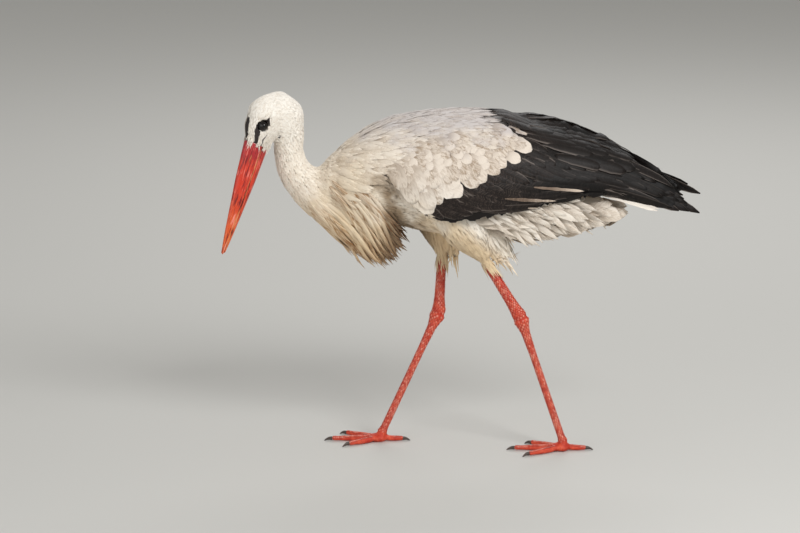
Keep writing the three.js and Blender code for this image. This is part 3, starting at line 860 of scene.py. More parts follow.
# %% Skin, scale, horn and eye materials
GRAIN = 1.6 * MM  # the small net-like scales between the plates of the legs
WRINKLE = 0.7 * MM  # of the bare skin round the eye
FIBRE = 1.7  # of the bill's horn: millimetres across, and about twenty times as long


def leg_red(tree, spot):
    """The colour of the red legs, and a height for their fine scales."""
    net = {"Vector": spot, "Scale": 1 / GRAIN}
    cells = add(tree, "TexVoronoi", net, feature="DISTANCE_TO_EDGE")
    # Darker in the creases between the small scales: painted shade.
    crease_shade = add(tree, "MapRange", {0: cells.outputs[0], 1: 0.12, 2: 0.0}, interpolation_type="SMOOTHSTEP")
    patches = add(tree, "TexNoise", {"Vector": spot, "Scale": 1 / (9 * MM), "Detail": 3.0})
    colour = add(tree, "Mix", {
        0: add(tree, "MapRange", {0: patches, 1: 0.35, 2: 0.7}, interpolation_type="SMOOTHSTEP"),
        6: "#c6341f",
        7: "#e85f41",
    }, data_type="RGBA")
    colour = add(tree, "Mix", {
        0: add(tree, "Math", {0: crease_shade, 1: 0.6}, operation="MULTIPLY"),
        6: colour,
        7: "#8a2417",
    }, data_type="RGBA")
    return colour, cells.outputs[0]


def scaly(name):
    """Horny plates on the legs: the same red, smoother and a little paler than the skin between them."""
    made, tree = material(name)
    colour, height = leg_red(tree, add(tree, "TexCoord").outputs["Object"])
    random, _, across = add(tree, "SeparateXYZ", {
        0: add(tree, "Attribute", attribute_name="feather").outputs["Vector"],
    }).outputs
    # Darker towards the rims of each plate, where the plates meet: painted shade.
    rim = add(tree, "MapRange", {0: across, 1: 0.5, 2: 1.0}, interpolation_type="SMOOTHSTEP")
    worn = add(tree, "Math", {
        0: add(tree, "Math", {0: random, 1: 2.0}, operation="POWER"),
        1: 0.75,
    }, operation="MULTIPLY")
    colour = add(tree, "Mix", {0: worn, 6: colour, 7: "#ee9a84"}, data_type="RGBA")
    colour = add(tree, "Mix", {
        0: add(tree, "Math", {0: rim, 1: 0.6}, operation="MULTIPLY"),
        6: colour,
        7: "#8c281a",
    }, data_type="RGBA")
    surfaced(tree, {"Base Color": colour, "Roughness": 0.33, "Specular IOR Level": 0.5}, height, 0.15, 0.2)
    return made


def living_skin():
    """One skin: down-covered under the coat, black round the eye and red on the legs."""
    made, tree = material("bird skin")
    spot = add(tree, "TexCoord").outputs["Object"]
    red, height = leg_red(tree, spot)
    creases = add(tree, "TexVoronoi", {"Vector": spot, "Scale": 1 / WRINKLE}).outputs[0]
    # Darker in the wrinkles of the bare black skin: painted shade.
    black = add(tree, "Mix", {0: creases, 6: "#3a302d", 7: "#120d0d"}, data_type="RGBA")
    # Under the coat the skin takes the plumage's colours, a little darker and browner: painted shade where
    # it shows between the feathers.
    down = add(tree, "Group", node_tree=plumage_marks_and_shade).outputs[0]
    down = add(tree, "Mix", {0: 0.15, 6: down, 7: "#b59a7a"}, data_type="RGBA", blend_type="MULTIPLY")
    # Black where the face is bare, and where black is painted as shade: in the fold behind the cheek and on
    # the band up the forehead.
    face = add(tree, "Attribute", attribute_name="bare_face_and_shade").outputs["Fac"]
    leg = add(tree, "Attribute", attribute_name="bare_leg").outputs["Fac"]
    colour = add(tree, "Mix", {0: leg, 6: down, 7: red}, data_type="RGBA")
    colour = add(tree, "Mix", {0: face, 6: colour, 7: black}, data_type="RGBA")
    relief = add(tree, "Math", {
        0: add(tree, "Math", {0: height, 1: leg}, operation="MULTIPLY"),
        1: add(tree, "Math", {0: creases, 1: face}, operation="MULTIPLY"),
    }, operation="ADD")
    surfaced(tree, {"Base Color": colour, "Roughness": 0.55, "Specular IOR Level": 0.4}, relief, 0.5, 0.3)
    return made


def red_horn():
    """The bill: dark crimson at the root, scarlet along most of it and orange at the tip."""
    made, tree = material("red bill horn")
    # The attribute runs along the bill, over it and across, in millimetres.
    own = add(tree, "Attribute", attribute_name="horn").outputs["Vector"]
    drawn = add(tree, "Mapping", {"Vector": own, "Scale": (0.05 / FIBRE, 1 / FIBRE, 1 / FIBRE)})
    fibres = add(tree, "TexNoise", {"Vector": drawn.outputs[0], "Scale": 1.0, "Detail": 4.0})
    broad = add(tree, "TexNoise", {"Vector": own, "Scale": 1 / 14, "Detail": 3.0})
    reach = add(tree, "Math", {
        0: add(tree, "SeparateXYZ", {0: own}).outputs[0],
        1: add(tree, "Math", {0: broad, 1: 60.0, 2: -30.0}, operation="MULTIPLY_ADD"),
    }, operation="ADD")
    colour = add(tree, "Mix", {
        0: add(tree, "MapRange", {0: reach, 1: -5.0, 2: 45.0}, interpolation_type="SMOOTHSTEP"),
        6: "#a5202b",
        7: "#d0371e",
    }, data_type="RGBA")
    colour = add(tree, "Mix", {
        0: add(tree, "MapRange", {0: reach, 1: 60.0, 2: 165.0}, interpolation_type="SMOOTHSTEP"),
        6: colour,
        7: "#dd6226",
    }, data_type="RGBA")
    colour = add(tree, "Mix", {
        0: add(tree, "MapRange", {0: fibres, 1: 0.50, 2: 0.34}, interpolation_type="SMOOTHSTEP"),
        6: colour,
        7: "#741417",
    }, data_type="RGBA")
    pale = add(tree, "Math", {
        0: add(tree, "MapRange", {0: fibres, 1: 0.54, 2: 0.68}, interpolation_type="SMOOTHSTEP"),
        1: add(tree, "MapRange", {0: broad, 1: 0.40, 2: 0.56}, interpolation_type="SMOOTHSTEP"),
    }, operation="MULTIPLY")
    colour = add(tree, "Mix", {
        0: add(tree, "Math", {0: pale, 1: 0.8}, operation="MULTIPLY"),
        6: colour,
        7: "#f0988a",
    }, data_type="RGBA")
    # Along the furrow and round the nostril the horn is darkened as painted shade, broken by pale orange
    # streaks of the horn's edges.
    seam = add(tree, "Mix", {
        0: add(tree, "MapRange", {0: fibres, 1: 0.44, 2: 0.6}, interpolation_type="SMOOTHSTEP"),
        6: "#4e1512",
        7: "#ef9a60",
    }, data_type="RGBA")
    colour = add(tree, "Mix", {
        0: add(tree, "Math", {
            0: add(tree, "Attribute", attribute_name="furrow").outputs["Fac"],
            1: 0.85,
        }, operation="MULTIPLY"),
        6: colour,
        7: seam,
    }, data_type="RGBA")
    rough = add(tree, "Math", {0: fibres, 1: -0.25, 2: 0.52}, operation="MULTIPLY_ADD")
    surfaced(tree, {"Base Color": colour, "Roughness": rough, "Specular IOR Level": 0.5}, fibres, 0.35, 0.35)
    return made


def wet_eye():
    """A dark brown iris round a black pupil, under a clear wet cornea."""
    made, tree = material("wet eye")
    angle = add(tree, "Attribute", attribute_name="sight_angle").outputs["Fac"]
    colour = add(tree, "Mix", {
        0: add(tree, "MapRange", {0: angle, 1: 0.26, 2: 0.32}, interpolation_type="SMOOTHSTEP"),
        6: "#020202",
        7: "#0f0805",
    }, data_type="RGBA")
    colour = add(tree, "Mix", {
        0: add(tree, "MapRange", {0: angle, 1: 0.52, 2: 0.68}, interpolation_type="SMOOTHSTEP"),
        6: colour,
        7: "#0d0908",
    }, data_type="RGBA")
    cornea = {"Coat Weight": 0.8, "Coat Roughness": 0.02}
    surfaced(tree, {"Base Color": colour, "Roughness": 0.3, "Specular IOR Level": 0.02} | cornea)
    return made


def claw_horn():
    """Brown-black horn, mottled."""
    made, tree = material("claw horn")
    noise = add(tree, "TexNoise", {
        "Vector": add(tree, "TexCoord").outputs["Object"],
        "Scale": 1 / (2.5 * MM),
        "Detail": 3.0,
    })
    colour = add(tree, "Mix", {0: noise, 6: "#241c19", 7: "#5a4a42"}, data_type="RGBA")
    surfaced(tree, {"Base Color": colour, "Roughness": 0.45}, noise, 0.3, 0.2)
    return made


SKIN = living_skin()
SCALE = scaly("red leg scale")
BILL_HORN = red_horn()
EYE = wet_eye()
CLAW = claw_horn()
print(len(bpy.data.materials), "materials")

# %% [markdown]
# ## Finishing a piece
# Every piece rides on the one body, takes its finish, and says which CAD pieces it stands for, so that
# those are hidden.


# %% Finish
def finished(name, mesh, finish, slot, *stands_for):
    """A finished piece in the scene."""
    mesh.name = name
    mesh.materials.clear()
    mesh.materials.append(finish)
    mesh.shade_smooth()
    made = mesh_object(name, mesh)
    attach(made, "root")
    if stands_for:
        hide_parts(*stands_for)
    print(f"{name}: {sum(len(p.vertices) - 2 for p in mesh.polygons)} triangles")
    return made


# %% [markdown]
# ## An unwrap of the skin
# Each feather is painted from a small patch on a flat map of the skin, so the skin is unwrapped first, by
# its own shape.

# %% Unwrap the skin
skin = finished("skin", skin_mesh, SKIN, "white_plumage", *[n for n in FLESH if "wing" not in n])
bpy.context.view_layer.objects.active = skin
skin.select_set(True)
bpy.ops.object.mode_set(mode="EDIT")
bpy.ops.mesh.select_all(action="SELECT")
bpy.ops.uv.smart_project(angle_limit=math.radians(66), island_margin=0.002)
bpy.ops.object.mode_set(mode="OBJECT")
skin_mesh.uv_layers[0].name = "OFBake"
skin_uv = array_of(skin_mesh.uv_layers[0].data, "uv", 2).reshape(-1, 3, 2)
print("skin unwrapped to", skin_uv.min(), "-", skin_uv.max())

# %% [markdown]
# ## Swept forms
# A bill and a claw are both tubes whose section changes from end to end. The helper makes a plain tube ring
# by ring with the extrude operator and then moves each vertex to where a function says.


# %% Sweep
def sweep(along, around, place):
    """A closed tube: place(s, angle) is its surface, s = 0..1 from end to end. Its ends close to a point."""
    shape = bmesh.new()
    ring = bmesh.ops.create_circle(shape, segments=around, radius=1)["verts"]
    rim = list(dict.fromkeys(e for v in ring for e in v.link_edges))
    for _ in range(along):
        grown = bmesh.ops.extrude_edge_only(shape, edges=rim)["geom"]
        rim = [g for g in grown if isinstance(g, bmesh.types.BMEdge)]
        fresh = [g for g in grown if isinstance(g, bmesh.types.BMVert)]
        bmesh.ops.translate(shape, verts=fresh, vec=(0, 0, 1))
    for vertex in shape.verts:
        vertex.co = place(vertex.co.z / along, math.atan2(vertex.co.y, vertex.co.x))
    bmesh.ops.remove_doubles(shape, verts=shape.verts, dist=1e-6)
    bmesh.ops.holes_fill(shape, edges=shape.edges, sides=0)
    bmesh.ops.recalc_face_normals(shape, faces=shape.faces)
    return mesh_of("sweep", shape)


def rounded(s, start, end):
    """0 at each end of a swept form, 1 past the given share of it, along a quarter ellipse."""
    ends = [min(s / start, 1), min((1 - s) / end, 1)]
    return math.prod(math.sqrt(max(0, 1 - (1 - x) ** 2)) for x in ends)


print("sweep ready")

# %% [markdown]
# ## Eyes
# Each eye is a full ball with the cornea standing a little proud of it. The angle from the line of sight is
# kept on the mesh, and the material draws pupil and iris from it.


# %% Eyes
CORNEA = 0.45  # how far the cornea bulges, in millimetres
CORNEA_SPAN = (0.62, 0.1)  # radians from the line of sight, where it begins and where it is full
LID_GAP = 0.1  # between the ball and the lid, in millimetres


def eyeball(side):
    """An eyeball in its socket."""
    shape = bmesh.new()
    bmesh.ops.create_icosphere(shape, subdivisions=5, radius=1)
    mesh = mesh_of("eyeball", shape)
    ball = unit(places(mesh))
    angle = np.arccos(np.clip(ball @ line_of_sight(side), -1, 1))
    radius = EYE_RADIUS - LID_GAP + CORNEA * ramp(angle, *CORNEA_SPAN)
    set_places(mesh, eyes[side] + MM * radius[:, None] * ball)
    keep(mesh, "sight_angle", angle)
    finished(f"eyeball_{side}", mesh, EYE, "eye", f"eye_{side}")


for side in SIDES:
    eyeball(side)

# %% [markdown]
# ## The bill
# Two long mandibles meet along a straight furrow. Their length, and their depth and width at the root, are
# measured from the CAD pieces, and a few stations taper them to the tip. The upper one carries a slit
# nostril near its root with a shallow groove running on from it, and the edges along the furrow are rounded,
# which draws a dark line between them; the horn's colour darkens the furrow and nostril further, as painted
# shade.


# %% Mandibles
NOSTRIL = (14, 30)  # from the feather edge, in millimetres
GROOVE_END = 95
NOSTRIL_LEVEL = 0.42  # as a share of half the bill's depth
BURIED = 7  # the horn starts this far inside the feathers
UNDERSHOT = 2  # the lower mandible ends this far short of the upper
SEAM = 0.15  # half the gap between the two
BILL_RINGS, BILL_AROUND = 110, 72
BILL_START, BILL_END = in_head(bill_points)[:, 0].min(), in_head(bill_points)[:, 0].max()
BILL_LENGTH = BILL_END - BILL_START
base_points = in_head(np.vstack([bill_points, node_places("bill_lower")]))
at_base = base_points[:, 0] < BILL_START + 3
RIDGE = np.abs(base_points[at_base, 1]).max()  # half the bill's depth at its root
HALF_WIDTH = np.abs(base_points[at_base, 2]).max()
GAPE = -5.0  # the gape's height at the root of the bill, falling to 0 at the tip
TAPER = ([-0.1, 0, 0.3, 0.55, 0.8, 0.95, 1], [1.03, 1.0, 0.83, 0.6, 0.37, 0.2, 0.12])
print(f"bill {BILL_LENGTH:.0f} mm long, {2 * RIDGE:.0f} deep and {2 * HALF_WIDTH:.0f} wide at its root")


def smooth_curve(x, xs, ys):
    """A curve through a few stations, rounded off between them."""
    nearby = np.linspace(-0.05, 0.05, 11)
    return float(np.mean(np.interp(np.asarray(x) + nearby * (xs[-1] - xs[0]), xs, ys)))


def mandible(upper):
    """The upper or lower half of the bill."""
    sign = 1 if upper else -1
    last = BILL_END - (0 if upper else UNDERSHOT)

    def place(s, angle):
        a = BILL_START - BURIED + s * (last - BILL_START + BURIED)
        share = (a - BILL_START) / BILL_LENGTH
        size = smooth_curve(share, *TAPER)
        close = rounded(s, 0.02, 0.02)
        facing = sign * math.cos(angle)
        outside = (facing + math.hypot(facing, 0.1)) / 2
        flat = GAPE * max(0, 1 - share) + sign * SEAM
        o = flat + outside * (sign * RIDGE * size - flat) * close
        wide = HALF_WIDTH * size * (1 - 0.12 * outside) * close
        wide *= 1 - 0.10 * math.exp(-((facing / 0.22) ** 2)) * (1 if facing < 0.3 else 0)
        l = math.sin(angle) * wide
        if upper:
            start, end = NOSTRIL
            slit = ramp(a - BILL_START, start - 1, start + 3) * ramp(a - BILL_START, end + 2, end - 3)
            groove = ramp(a - BILL_START, start, end) * ramp(a - BILL_START, GROOVE_END, end)
            off_level = o - NOSTRIL_LEVEL * RIDGE * size
            cut = 1.6 * slit * math.exp(-((off_level / 0.9) ** 2))
            cut += 0.5 * groove * math.exp(-((off_level / 1.6) ** 2))
            l -= math.copysign(min(cut, abs(l)), l)
        return Vector(on_head(a, o, l))

    mesh = sweep(BILL_RINGS, BILL_AROUND, place)
    a, o, l = in_head(places(mesh)).T
    share = (a - BILL_START) / BILL_LENGTH
    out = a - BILL_START
    keep(mesh, "horn", np.column_stack([out, o, l]))
    gape = GAPE * np.clip(1 - share, 0, 1)
    seam = ramp(np.abs(o - gape), 1.5, 0.5) * ramp(share, 1.0, 0.9)
    if upper:
        start, end = NOSTRIL
        nostril = ramp(out, start, start + 3) * ramp(out, end, end - 4)
        level = NOSTRIL_LEVEL * RIDGE * np.interp(share, *TAPER)
        seam = np.maximum(seam, nostril * ramp(np.abs(o - level), 1.3, 0.5))
    keep(mesh, "furrow", seam)
    name = "upper" if upper else "lower"
    finished(f"mandible_{name}", mesh, BILL_HORN, "bill_horn", f"bill_{name}")


mandible(True)
mandible(False)

# %% [markdown]
# ## Claws
# A stork's claws are short and blunt, like a finger nail bent over the toe. Each starts inside its toe and
# ends on the ground.


# %% Claws
CLAW_HEIGHTS = (4.2, 0.8)  # of its axis at the root and at the tip, in millimetres
CLAW_ROOT, CLAW_TAPER = 3.1, 2.3  # half its depth at the root, and how much of that is lost to the tip


def claw(side, toe):
    """One claw, from its toe to the ground."""
    node = f"claw_{side}_{toe}"
    points = node_places(node)
    foot = centre(f"foot_{side}")
    way = unit((centre(node) - foot) * (1, 1, 0))
    reach = (points - foot) @ way
    start, end = foot + way * (reach.min() - 2 * MM), foot + way * reach.max()
    start[2], end[2] = CLAW_HEIGHTS[0] * MM, CLAW_HEIGHTS[1] * MM
    sideways = np.array([-way[1], way[0], 0])

    def place(s, angle):
        axis = start + s * (end - start) + np.array([0, 0, 1.6 * MM * math.sin(math.pi * s)])
        size = MM * (CLAW_ROOT - CLAW_TAPER * s**1.5) * rounded(s, 0.1, 0.12)
        return Vector(axis + size * (0.85 * math.cos(angle) * sideways + np.array([0, 0, math.sin(angle)])))

    finished(f"horn_{node}", sweep(16, 16, place), CLAW, "claw_horn", node)


for side in SIDES:
    for toe in TOES:
        claw(side, toe)

# %% [markdown]
# ## Making feathers
# Every feather is a thin closed vane along a spine, arched across like a roof tile, thick along the shaft
# and sharp at its edges. Thousands of them are written into one mesh as arrays. Each carries three things
# for the looks: a map of its own in metres, a small vector (a random number, the place along it and the
# place across it), and the map "OFBake", in which it is a patch at its root's place on the unwrapped skin.

# %% Vanes from arrays
PATCH_SIZE = 0.003  # of a feather's patch, as a share of the skin's map
SKIN_GROUND = ground_of(skin_mesh)


def new_mesh(points, faces):
    """A mesh from points and lists of faces, one array for each number of corners."""
    mesh = bpy.data.meshes.new("vanes")
    mesh.vertices.add(len(points))
    mesh.vertices.foreach_set("co", points.astype(np.float32).ravel())
    sizes = np.concatenate([np.full(len(f), f.shape[1]) for f in faces])
    corners = np.concatenate([f.ravel() for f in faces]).astype(np.int32)
    mesh.loops.add(len(corners))
    mesh.loops.foreach_set("vertex_index", corners)
    mesh.polygons.add(len(sizes))
    mesh.polygons.foreach_set("loop_start", (np.cumsum(sizes) - sizes).astype(np.int32))
    mesh.update(calc_edges=True)
    return mesh, corners


def vanes(name, spine, up, half, finish, slot, stands_for=(), across=3, arch=0.3, thick=0.35, kind=None):
    """One piece of n feathers: spine and up are (n, k, 3), half widths (n, k); kind is the random number."""
    n, k, _ = spine.shape
    along = unit(np.gradient(spine, axis=1))
    side = unit(np.cross(up, along))
    lift = np.cross(along, side)
    flat = np.linspace(-1, 1, across)
    u = np.concatenate([flat, flat[-2:0:-1]])
    on_top = np.concatenate([np.ones(across), np.zeros(across - 2)])
    ring = len(u)
    out = half[:, :, None] * u
    body = thick * MM * np.minimum(1, half / np.maximum(0.5 * half.max(axis=1, keepdims=True), 1e-9))
    tall = (1 - u**2) * (arch * half[:, :, None] + on_top * body[:, :, None])
    points = spine[:, :, None] + out[..., None] * side[:, :, None] + tall[..., None] * lift[:, :, None]

    first = np.arange(n)[:, None, None] * k * ring
    j, r = np.arange(k - 1)[:, None] * ring, np.arange(ring)
    after = (r + 1) % ring
    quads = np.stack([j + r, j + ring + r, j + ring + after, j + after], axis=-1)
    quads = (first[..., None] + quads).reshape(-1, 4)
    starts = np.arange(n)[:, None] * k * ring
    ends = starts + (k - 1) * ring
    mesh, corners = new_mesh(points.reshape(-1, 3), [quads, starts + r, ends + r[::-1]])

    pairs = edges_of(mesh) % ring
    border = (pairs[:, 0] == pairs[:, 1]) & np.isin(pairs[:, 0], [0, across - 1])
    mesh.attributes.new("sharp_edge", "BOOLEAN", "EDGE").data.foreach_set("value", border)
    s = np.linspace(0, 1, k)
    if kind is None:
        kind = chance.random(n)
    own = np.empty((n, k, ring, 3), np.float32)
    own[..., 0], own[..., 1], own[..., 2] = kind[:, None, None], s[:, None], np.abs(u)
    keep(mesh, "feather", own.reshape(-1, 3))

    _, face = nearest(SKIN_GROUND.tree, spine[:, 0])
    patch = np.stack(np.broadcast_arrays(u / 2, s[:, None] - 0.5), axis=-1) * PATCH_SIZE
    baked = skin_uv[face].mean(axis=1)[:, None, None] + patch
    step = np.linalg.norm(np.diff(spine, axis=1), axis=2)
    travelled = np.pad(np.cumsum(step, axis=1), ((0, 0), (1, 0)))
    metres = np.stack(np.broadcast_arrays(out, travelled[:, :, None]), axis=-1)
    for layer, values in (("OFBake", baked), ("vane", metres)):
        by_corner = values.reshape(-1, 2)[corners]
        mesh.uv_layers.new(name=layer).data.foreach_set("uv", by_corner.astype(np.float32).ravel())
    finished(name, mesh, finish, slot, *stands_for)


print("skin search tree over", len(SKIN_GROUND.corners), "triangles")

# %% [markdown]
# ## The lie of the coat
# Feathers point away from the bill: over the crown, down the neck, out over the shoulders, along the body to
# the tail, and down the thighs. Round the throat they follow the fold of the neck. A few arrows hold that
# direction; anywhere else it is their mean, weighted by nearness, and turned into the surface.

# %% The lie at any point
AXIS = np.array([
    on_head(36, 0, 0), on_head(4, 4, 0), on_head(-20, 6, 0),
    (-0.284, -0.008, 0.560), (-0.268, -0.003, 0.535), (-0.274, 0, 0.490), (-0.262, 0, 0.450),
    (-0.235, 0, 0.420), (-0.150, 0, 0.415), (0.0, 0, 0.430), (0.15, 0, 0.430), (0.32, 0, 0.395),
])
HIPS = {"left": (-0.03, -0.054, 0.412), "right": (-0.054, 0.052, 0.410)}
CUFF = 8  # how much of the shank's top the feathers of the thigh reach, in millimetres
THIGH_REACH = 0.05  # metres; the thighs' arrows reach less far than the others
THROAT = np.array([-0.285, -0.008, 0.507])  # round it the feathers of the folded neck turn
TURN = (0.050, 0.036, 0.066)  # half the size of the turn: to the front, to the back and up
arrows_at = list((AXIS[1:] + AXIS[:-1]) / 2)
arrows = list(unit(AXIS[1:] - AXIS[:-1]))
for angle in np.radians(np.arange(165, 15, -25)):
    for share in (0.55, 1.0):
        across = TURN[0] if math.cos(angle) < 0 else TURN[1]
        arrows_at.append(THROAT + share * np.array([across * math.cos(angle), 0, TURN[2] * math.sin(angle)]))
        arrows.append(unit(np.array([across * math.sin(angle), 0, -TURN[2] * math.cos(angle)])))
first_thigh = len(arrows)
for side in SIDES:
    cuff = end_of(f"shank_{side}", CUFF)
    for share in (0.35, 0.7, 1.05):
        arrows_at.append(HIPS[side] + share * (cuff - HIPS[side]))
        arrows.append(unit(cuff - HIPS[side]))
arrows_at, arrows = np.array(arrows_at), np.array(arrows)


def flat_on(way, facing):
    """Directions turned into the surface that faces some way."""
    return unit(way - (way * facing).sum(axis=1, keepdims=True) * facing)


def lie(points, facing):
    """The direction of the feathers at some points of the skin that face some way."""
    gap = np.linalg.norm(points[:, None] - arrows_at[None], axis=2)
    weight = 1 / (gap**2 + 0.02**2) ** 3
    weight[:, first_thigh:] *= np.exp(-((gap[:, first_thigh:] / THIGH_REACH) ** 2))
    return flat_on(weight @ arrows, facing)


def turned(way, facing, angle):
    """Directions turned about the way the skin faces, by angles in radians."""
    angle = np.asarray(angle).reshape(-1, 1)
    return np.cos(angle) * way + np.sin(angle) * np.cross(facing, way)


ROOTED = 0.6  # how far under the surface a feather starts, in millimetres
ALIKE = 0.3  # a spine follows the surface while both face about the same way: the cosine
SUNK = 0.2  # or where it has gone under the surface by this much
LOST = 10  # and never where the surface is further off than this


def laid(roots, facing, length, height, stations, swing, loose=0.0, ground=SKIN_GROUND, flow=lie):
    """Spines that follow a surface: (places, upward directions). loose > 0 lets the ends leave it."""
    way = turned(flow(roots, facing), facing, chance.normal(0, swing, len(roots)))
    here, up = roots, facing
    spots, ups = [roots - ROOTED * MM * facing], [facing]
    for j in range(1, stations):
        s = j / (stations - 1)
        there = here + way * (length / (stations - 1))[:, None]
        found, face = nearest(ground.tree, there)
        slope = ground.facing[face]
        rise = ((found - there) * up).sum(axis=1)
        held = ((slope * up).sum(axis=1) > ALIKE) | (rise > SUNK * MM)
        held = (held & (np.linalg.norm(found - there, axis=1) < LOST * MM))[:, None]
        stick = held * (1 - loose * s)
        here = there + stick * (found - there)
        up = unit(up + stick * (slope - up))
        way = unit(way + 0.5 * held * (flow(here, up) - way))
        way = unit(way - held * (way * up).sum(axis=1, keepdims=True) * up)
        spots.append(here + up * (MM * height * (0.08 + 0.92 * s**0.7))[:, None])
        ups.append(up)
    return np.stack(spots, axis=1), np.stack(ups, axis=1)


print(len(arrows), "arrows")

# %% [markdown]
# ## Where feathers grow
# Roots are strewn over the skin at random and then thinned so that no two stand closer than the spacing of
# their part of the body. Bare skin stays clear, and so do the parts that a folded wing hides.

# %% Roots, and the millimetres between them
SPACING = {"head": 2.1, "neck_upper": 2.9, "neck_lower": 3.6, "trunk": 4.4}
SPACING |= {f"thigh_{side}": 3.6 for side in SIDES}
SPACING |= {f"wing_{side}_coverts": 4.6 for side in SIDES}
face_node = skin_node[SKIN_GROUND.corners[:, 0]]
spacing = np.array([SPACING.get(node, 0) for node in face_node], float)
BARE_FROM = 0.2  # no feathers grow where the skin is more bare than this
bare = np.maximum(bare_leg, bare_face_and_shade)[SKIN_GROUND.corners].mean(axis=1)
spacing[bare > BARE_FROM] = 0


def thinned(points, gap):
    """Which points to keep so that no two are closer than the gap."""
    tree = KDTree(len(points))
    for i, point in enumerate(points):
        tree.insert(point, i)
    tree.balance()
    kept = np.ones(len(points), bool)
    for i in range(len(points)):
        if kept[i]:
            for _, other, _ in tree.find_range(points[i], gap[i]):
                kept[other] = other <= i and kept[other]
    return kept


CANDIDATES = 5  # for each root that there is room for


def strewn(ground, spacing):
    """Roots over a surface, no closer than the spacing in millimetres of each triangle; 0 keeps it clear."""
    spacing = np.broadcast_to(spacing, len(ground.corners)) * MM
    corners = ground.points[ground.corners]
    first, second = corners[:, 1] - corners[:, 0], corners[:, 2] - corners[:, 0]
    area = np.linalg.norm(np.cross(first, second), axis=1) / 2
    weight = np.where(spacing > 0, area / np.maximum(spacing, 1e-6) ** 2, 0)
    count = int(CANDIDATES * weight.sum())
    face = chance.choice(len(area), count, p=weight / weight.sum())
    spots = np.einsum("ij,ijk->ik", chance.dirichlet((1, 1, 1), count), corners[face])
    kept = thinned(spots, spacing[face])
    return spots[kept], ground.facing[face[kept]], face[kept]


roots, root_facing, root_face = strewn(SKIN_GROUND, spacing)
root_node = face_node[root_face]
print(len(roots), "roots:", {n: int((root_node == n).sum()) for n in SPACING})

# %% [markdown]
# ## Body feathers
# The smallest feathers stand round the bill and the eyes, a few millimetres long, like plush. They grow
# longer down the neck, and on the belly and thighs they are long and hair-like, with loose tips. On the back
# they end where the black feathers of the shoulders begin, and none grow where a folded wing hides them.


# %% Head, neck and body
wing_points, wing_triangles, _ = joined_triangles([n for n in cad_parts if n.startswith("wing_")])
wing_tree = tree_of(wing_points, wing_triangles)
WING_OVER = 45  # how far over a hidden feather a wing may be, in millimetres


def hidden(spots, ups):
    """Which feathers lie under a folded wing all along."""
    under = np.ones(len(spots), bool)
    for j in range(0, spots.shape[1], 2):
        under &= rays(wing_tree, spots[:, j], ups[:, j], WING_OVER * MM)[0]
    return under


BESIDE = 0.3  # metres from the bird's middle, well clear of it
SHORT_OF = 0.01  # rays from there end this far short of the middle


def behind_wing(spots):
    """Which feathers a wing covers all along, seen from the side."""
    covered = np.ones(len(spots), bool)
    for j in (0, spots.shape[1] // 2, spots.shape[1] - 1):
        outward = np.where(spots[:, j, 1:2] < 0, -1.0, 1.0) * (0, 1, 0)
        start = spots[:, j] * (1, 0, 1) + BESIDE * outward
        covered &= rays(wing_tree, start, -outward, BESIDE - SHORT_OF)[0]
    return covered


def tapered(count, stations, blunt=0.6):
    """Half widths of hair-like blades, 1 at the widest."""
    s = np.linspace(0, 1, stations)
    blunt = np.broadcast_to(blunt, count)[:, None]
    return np.maximum(np.minimum(1, 0.35 + 2.2 * s) * (1 - s) ** blunt, 0.07)


NECK_FOOT, FOLD_REACH = np.array([-0.215, 0, 0.470]), 0.045  # the fold behind the neck, in metres
BLACK_FROM = (80, 515)  # the back is black behind and above this, in millimetres in the side view
SIZE_SPREAD, HEIGHT_SPREAD = 0.15, 0.09


def varied(count, spread, least=0.6, most=1.5):
    """Random sizes round one, without the extremes."""
    return chance.normal(1, spread, count).clip(least, most)


def coat(name, part, length, half, height, stations, finish, blunt=0.6, arch=0.16, **lay):
    """A patch of the coat; length, half width and height in millimetres are means."""
    on_trunk = root_node[part] == "trunk"
    p, facing = roots[part], root_facing[part]
    size = varied(len(p), SIZE_SPREAD)
    lengths = np.broadcast_to(length, len(p)) * size * MM
    heights = np.broadcast_to(height, len(p)) * varied(len(p), HEIGHT_SPREAD, most=1.3)
    in_fold = np.exp(-((np.linalg.norm(p - NECK_FOOT, axis=1) / FOLD_REACH) ** 4))
    flatter = 1 - 0.5 * in_fold
    spots, ups = laid(p, facing, lengths * flatter, heights * flatter, stations, **lay)
    seen = ~hidden(spots, ups) & ~(behind_wing(spots) & on_trunk & (facing[:, 2] < 0.6))
    seen &= (spots[:, -1, 0] < BLACK_FROM[0] * MM) | (spots[:, -1, 2] < BLACK_FROM[1] * MM)
    widths = tapered(len(p), stations, blunt) * (np.broadcast_to(half, len(p)) * size)[:, None] * MM
    vanes(name, spots[seen], ups[seen], widths[seen], finish, "white_plumage", arch=arch)


def chosen(*nodes):
    """The roots on some CAD pieces."""
    return np.isin(root_node, nodes)


from_bill = np.linalg.norm(roots - np.array(on_head(30, 0, 0)), axis=1) / MM
along_neck = [0, 18, 60, 110, 200]  # all in millimetres
long = np.interp(from_bill, along_neck, [4, 6, 12, 19, 34])
broad = np.interp(from_bill, along_neck, [0.9, 1.35, 2.6, 4.1, 5.3])
high = np.interp(from_bill, along_neck, [0.8, 1.0, 1.3, 1.6, 2.6])
NECK = (("head", "head", 4), ("upper_neck", "neck_upper", 5), ("lower_neck", "neck_lower", 6))
for name, node, stations in NECK:
    on = chosen(node)
    coat(f"{name}_feathers", on, long[on], broad[on], high[on], stations, CONTOUR, swing=0.07, arch=0.08)
x, y, z = roots.T / MM
on_trunk = chosen("trunk") & ~((z > 470) & (x > 16))
front = on_trunk & (x < -80)
rear = on_trunk & (x > 20) & (z < 440)
coat("shoulder_feathers", front, 36, 4.8, 3.6, 6, MANTLE, 0.5, swing=0.06, arch=0.08)
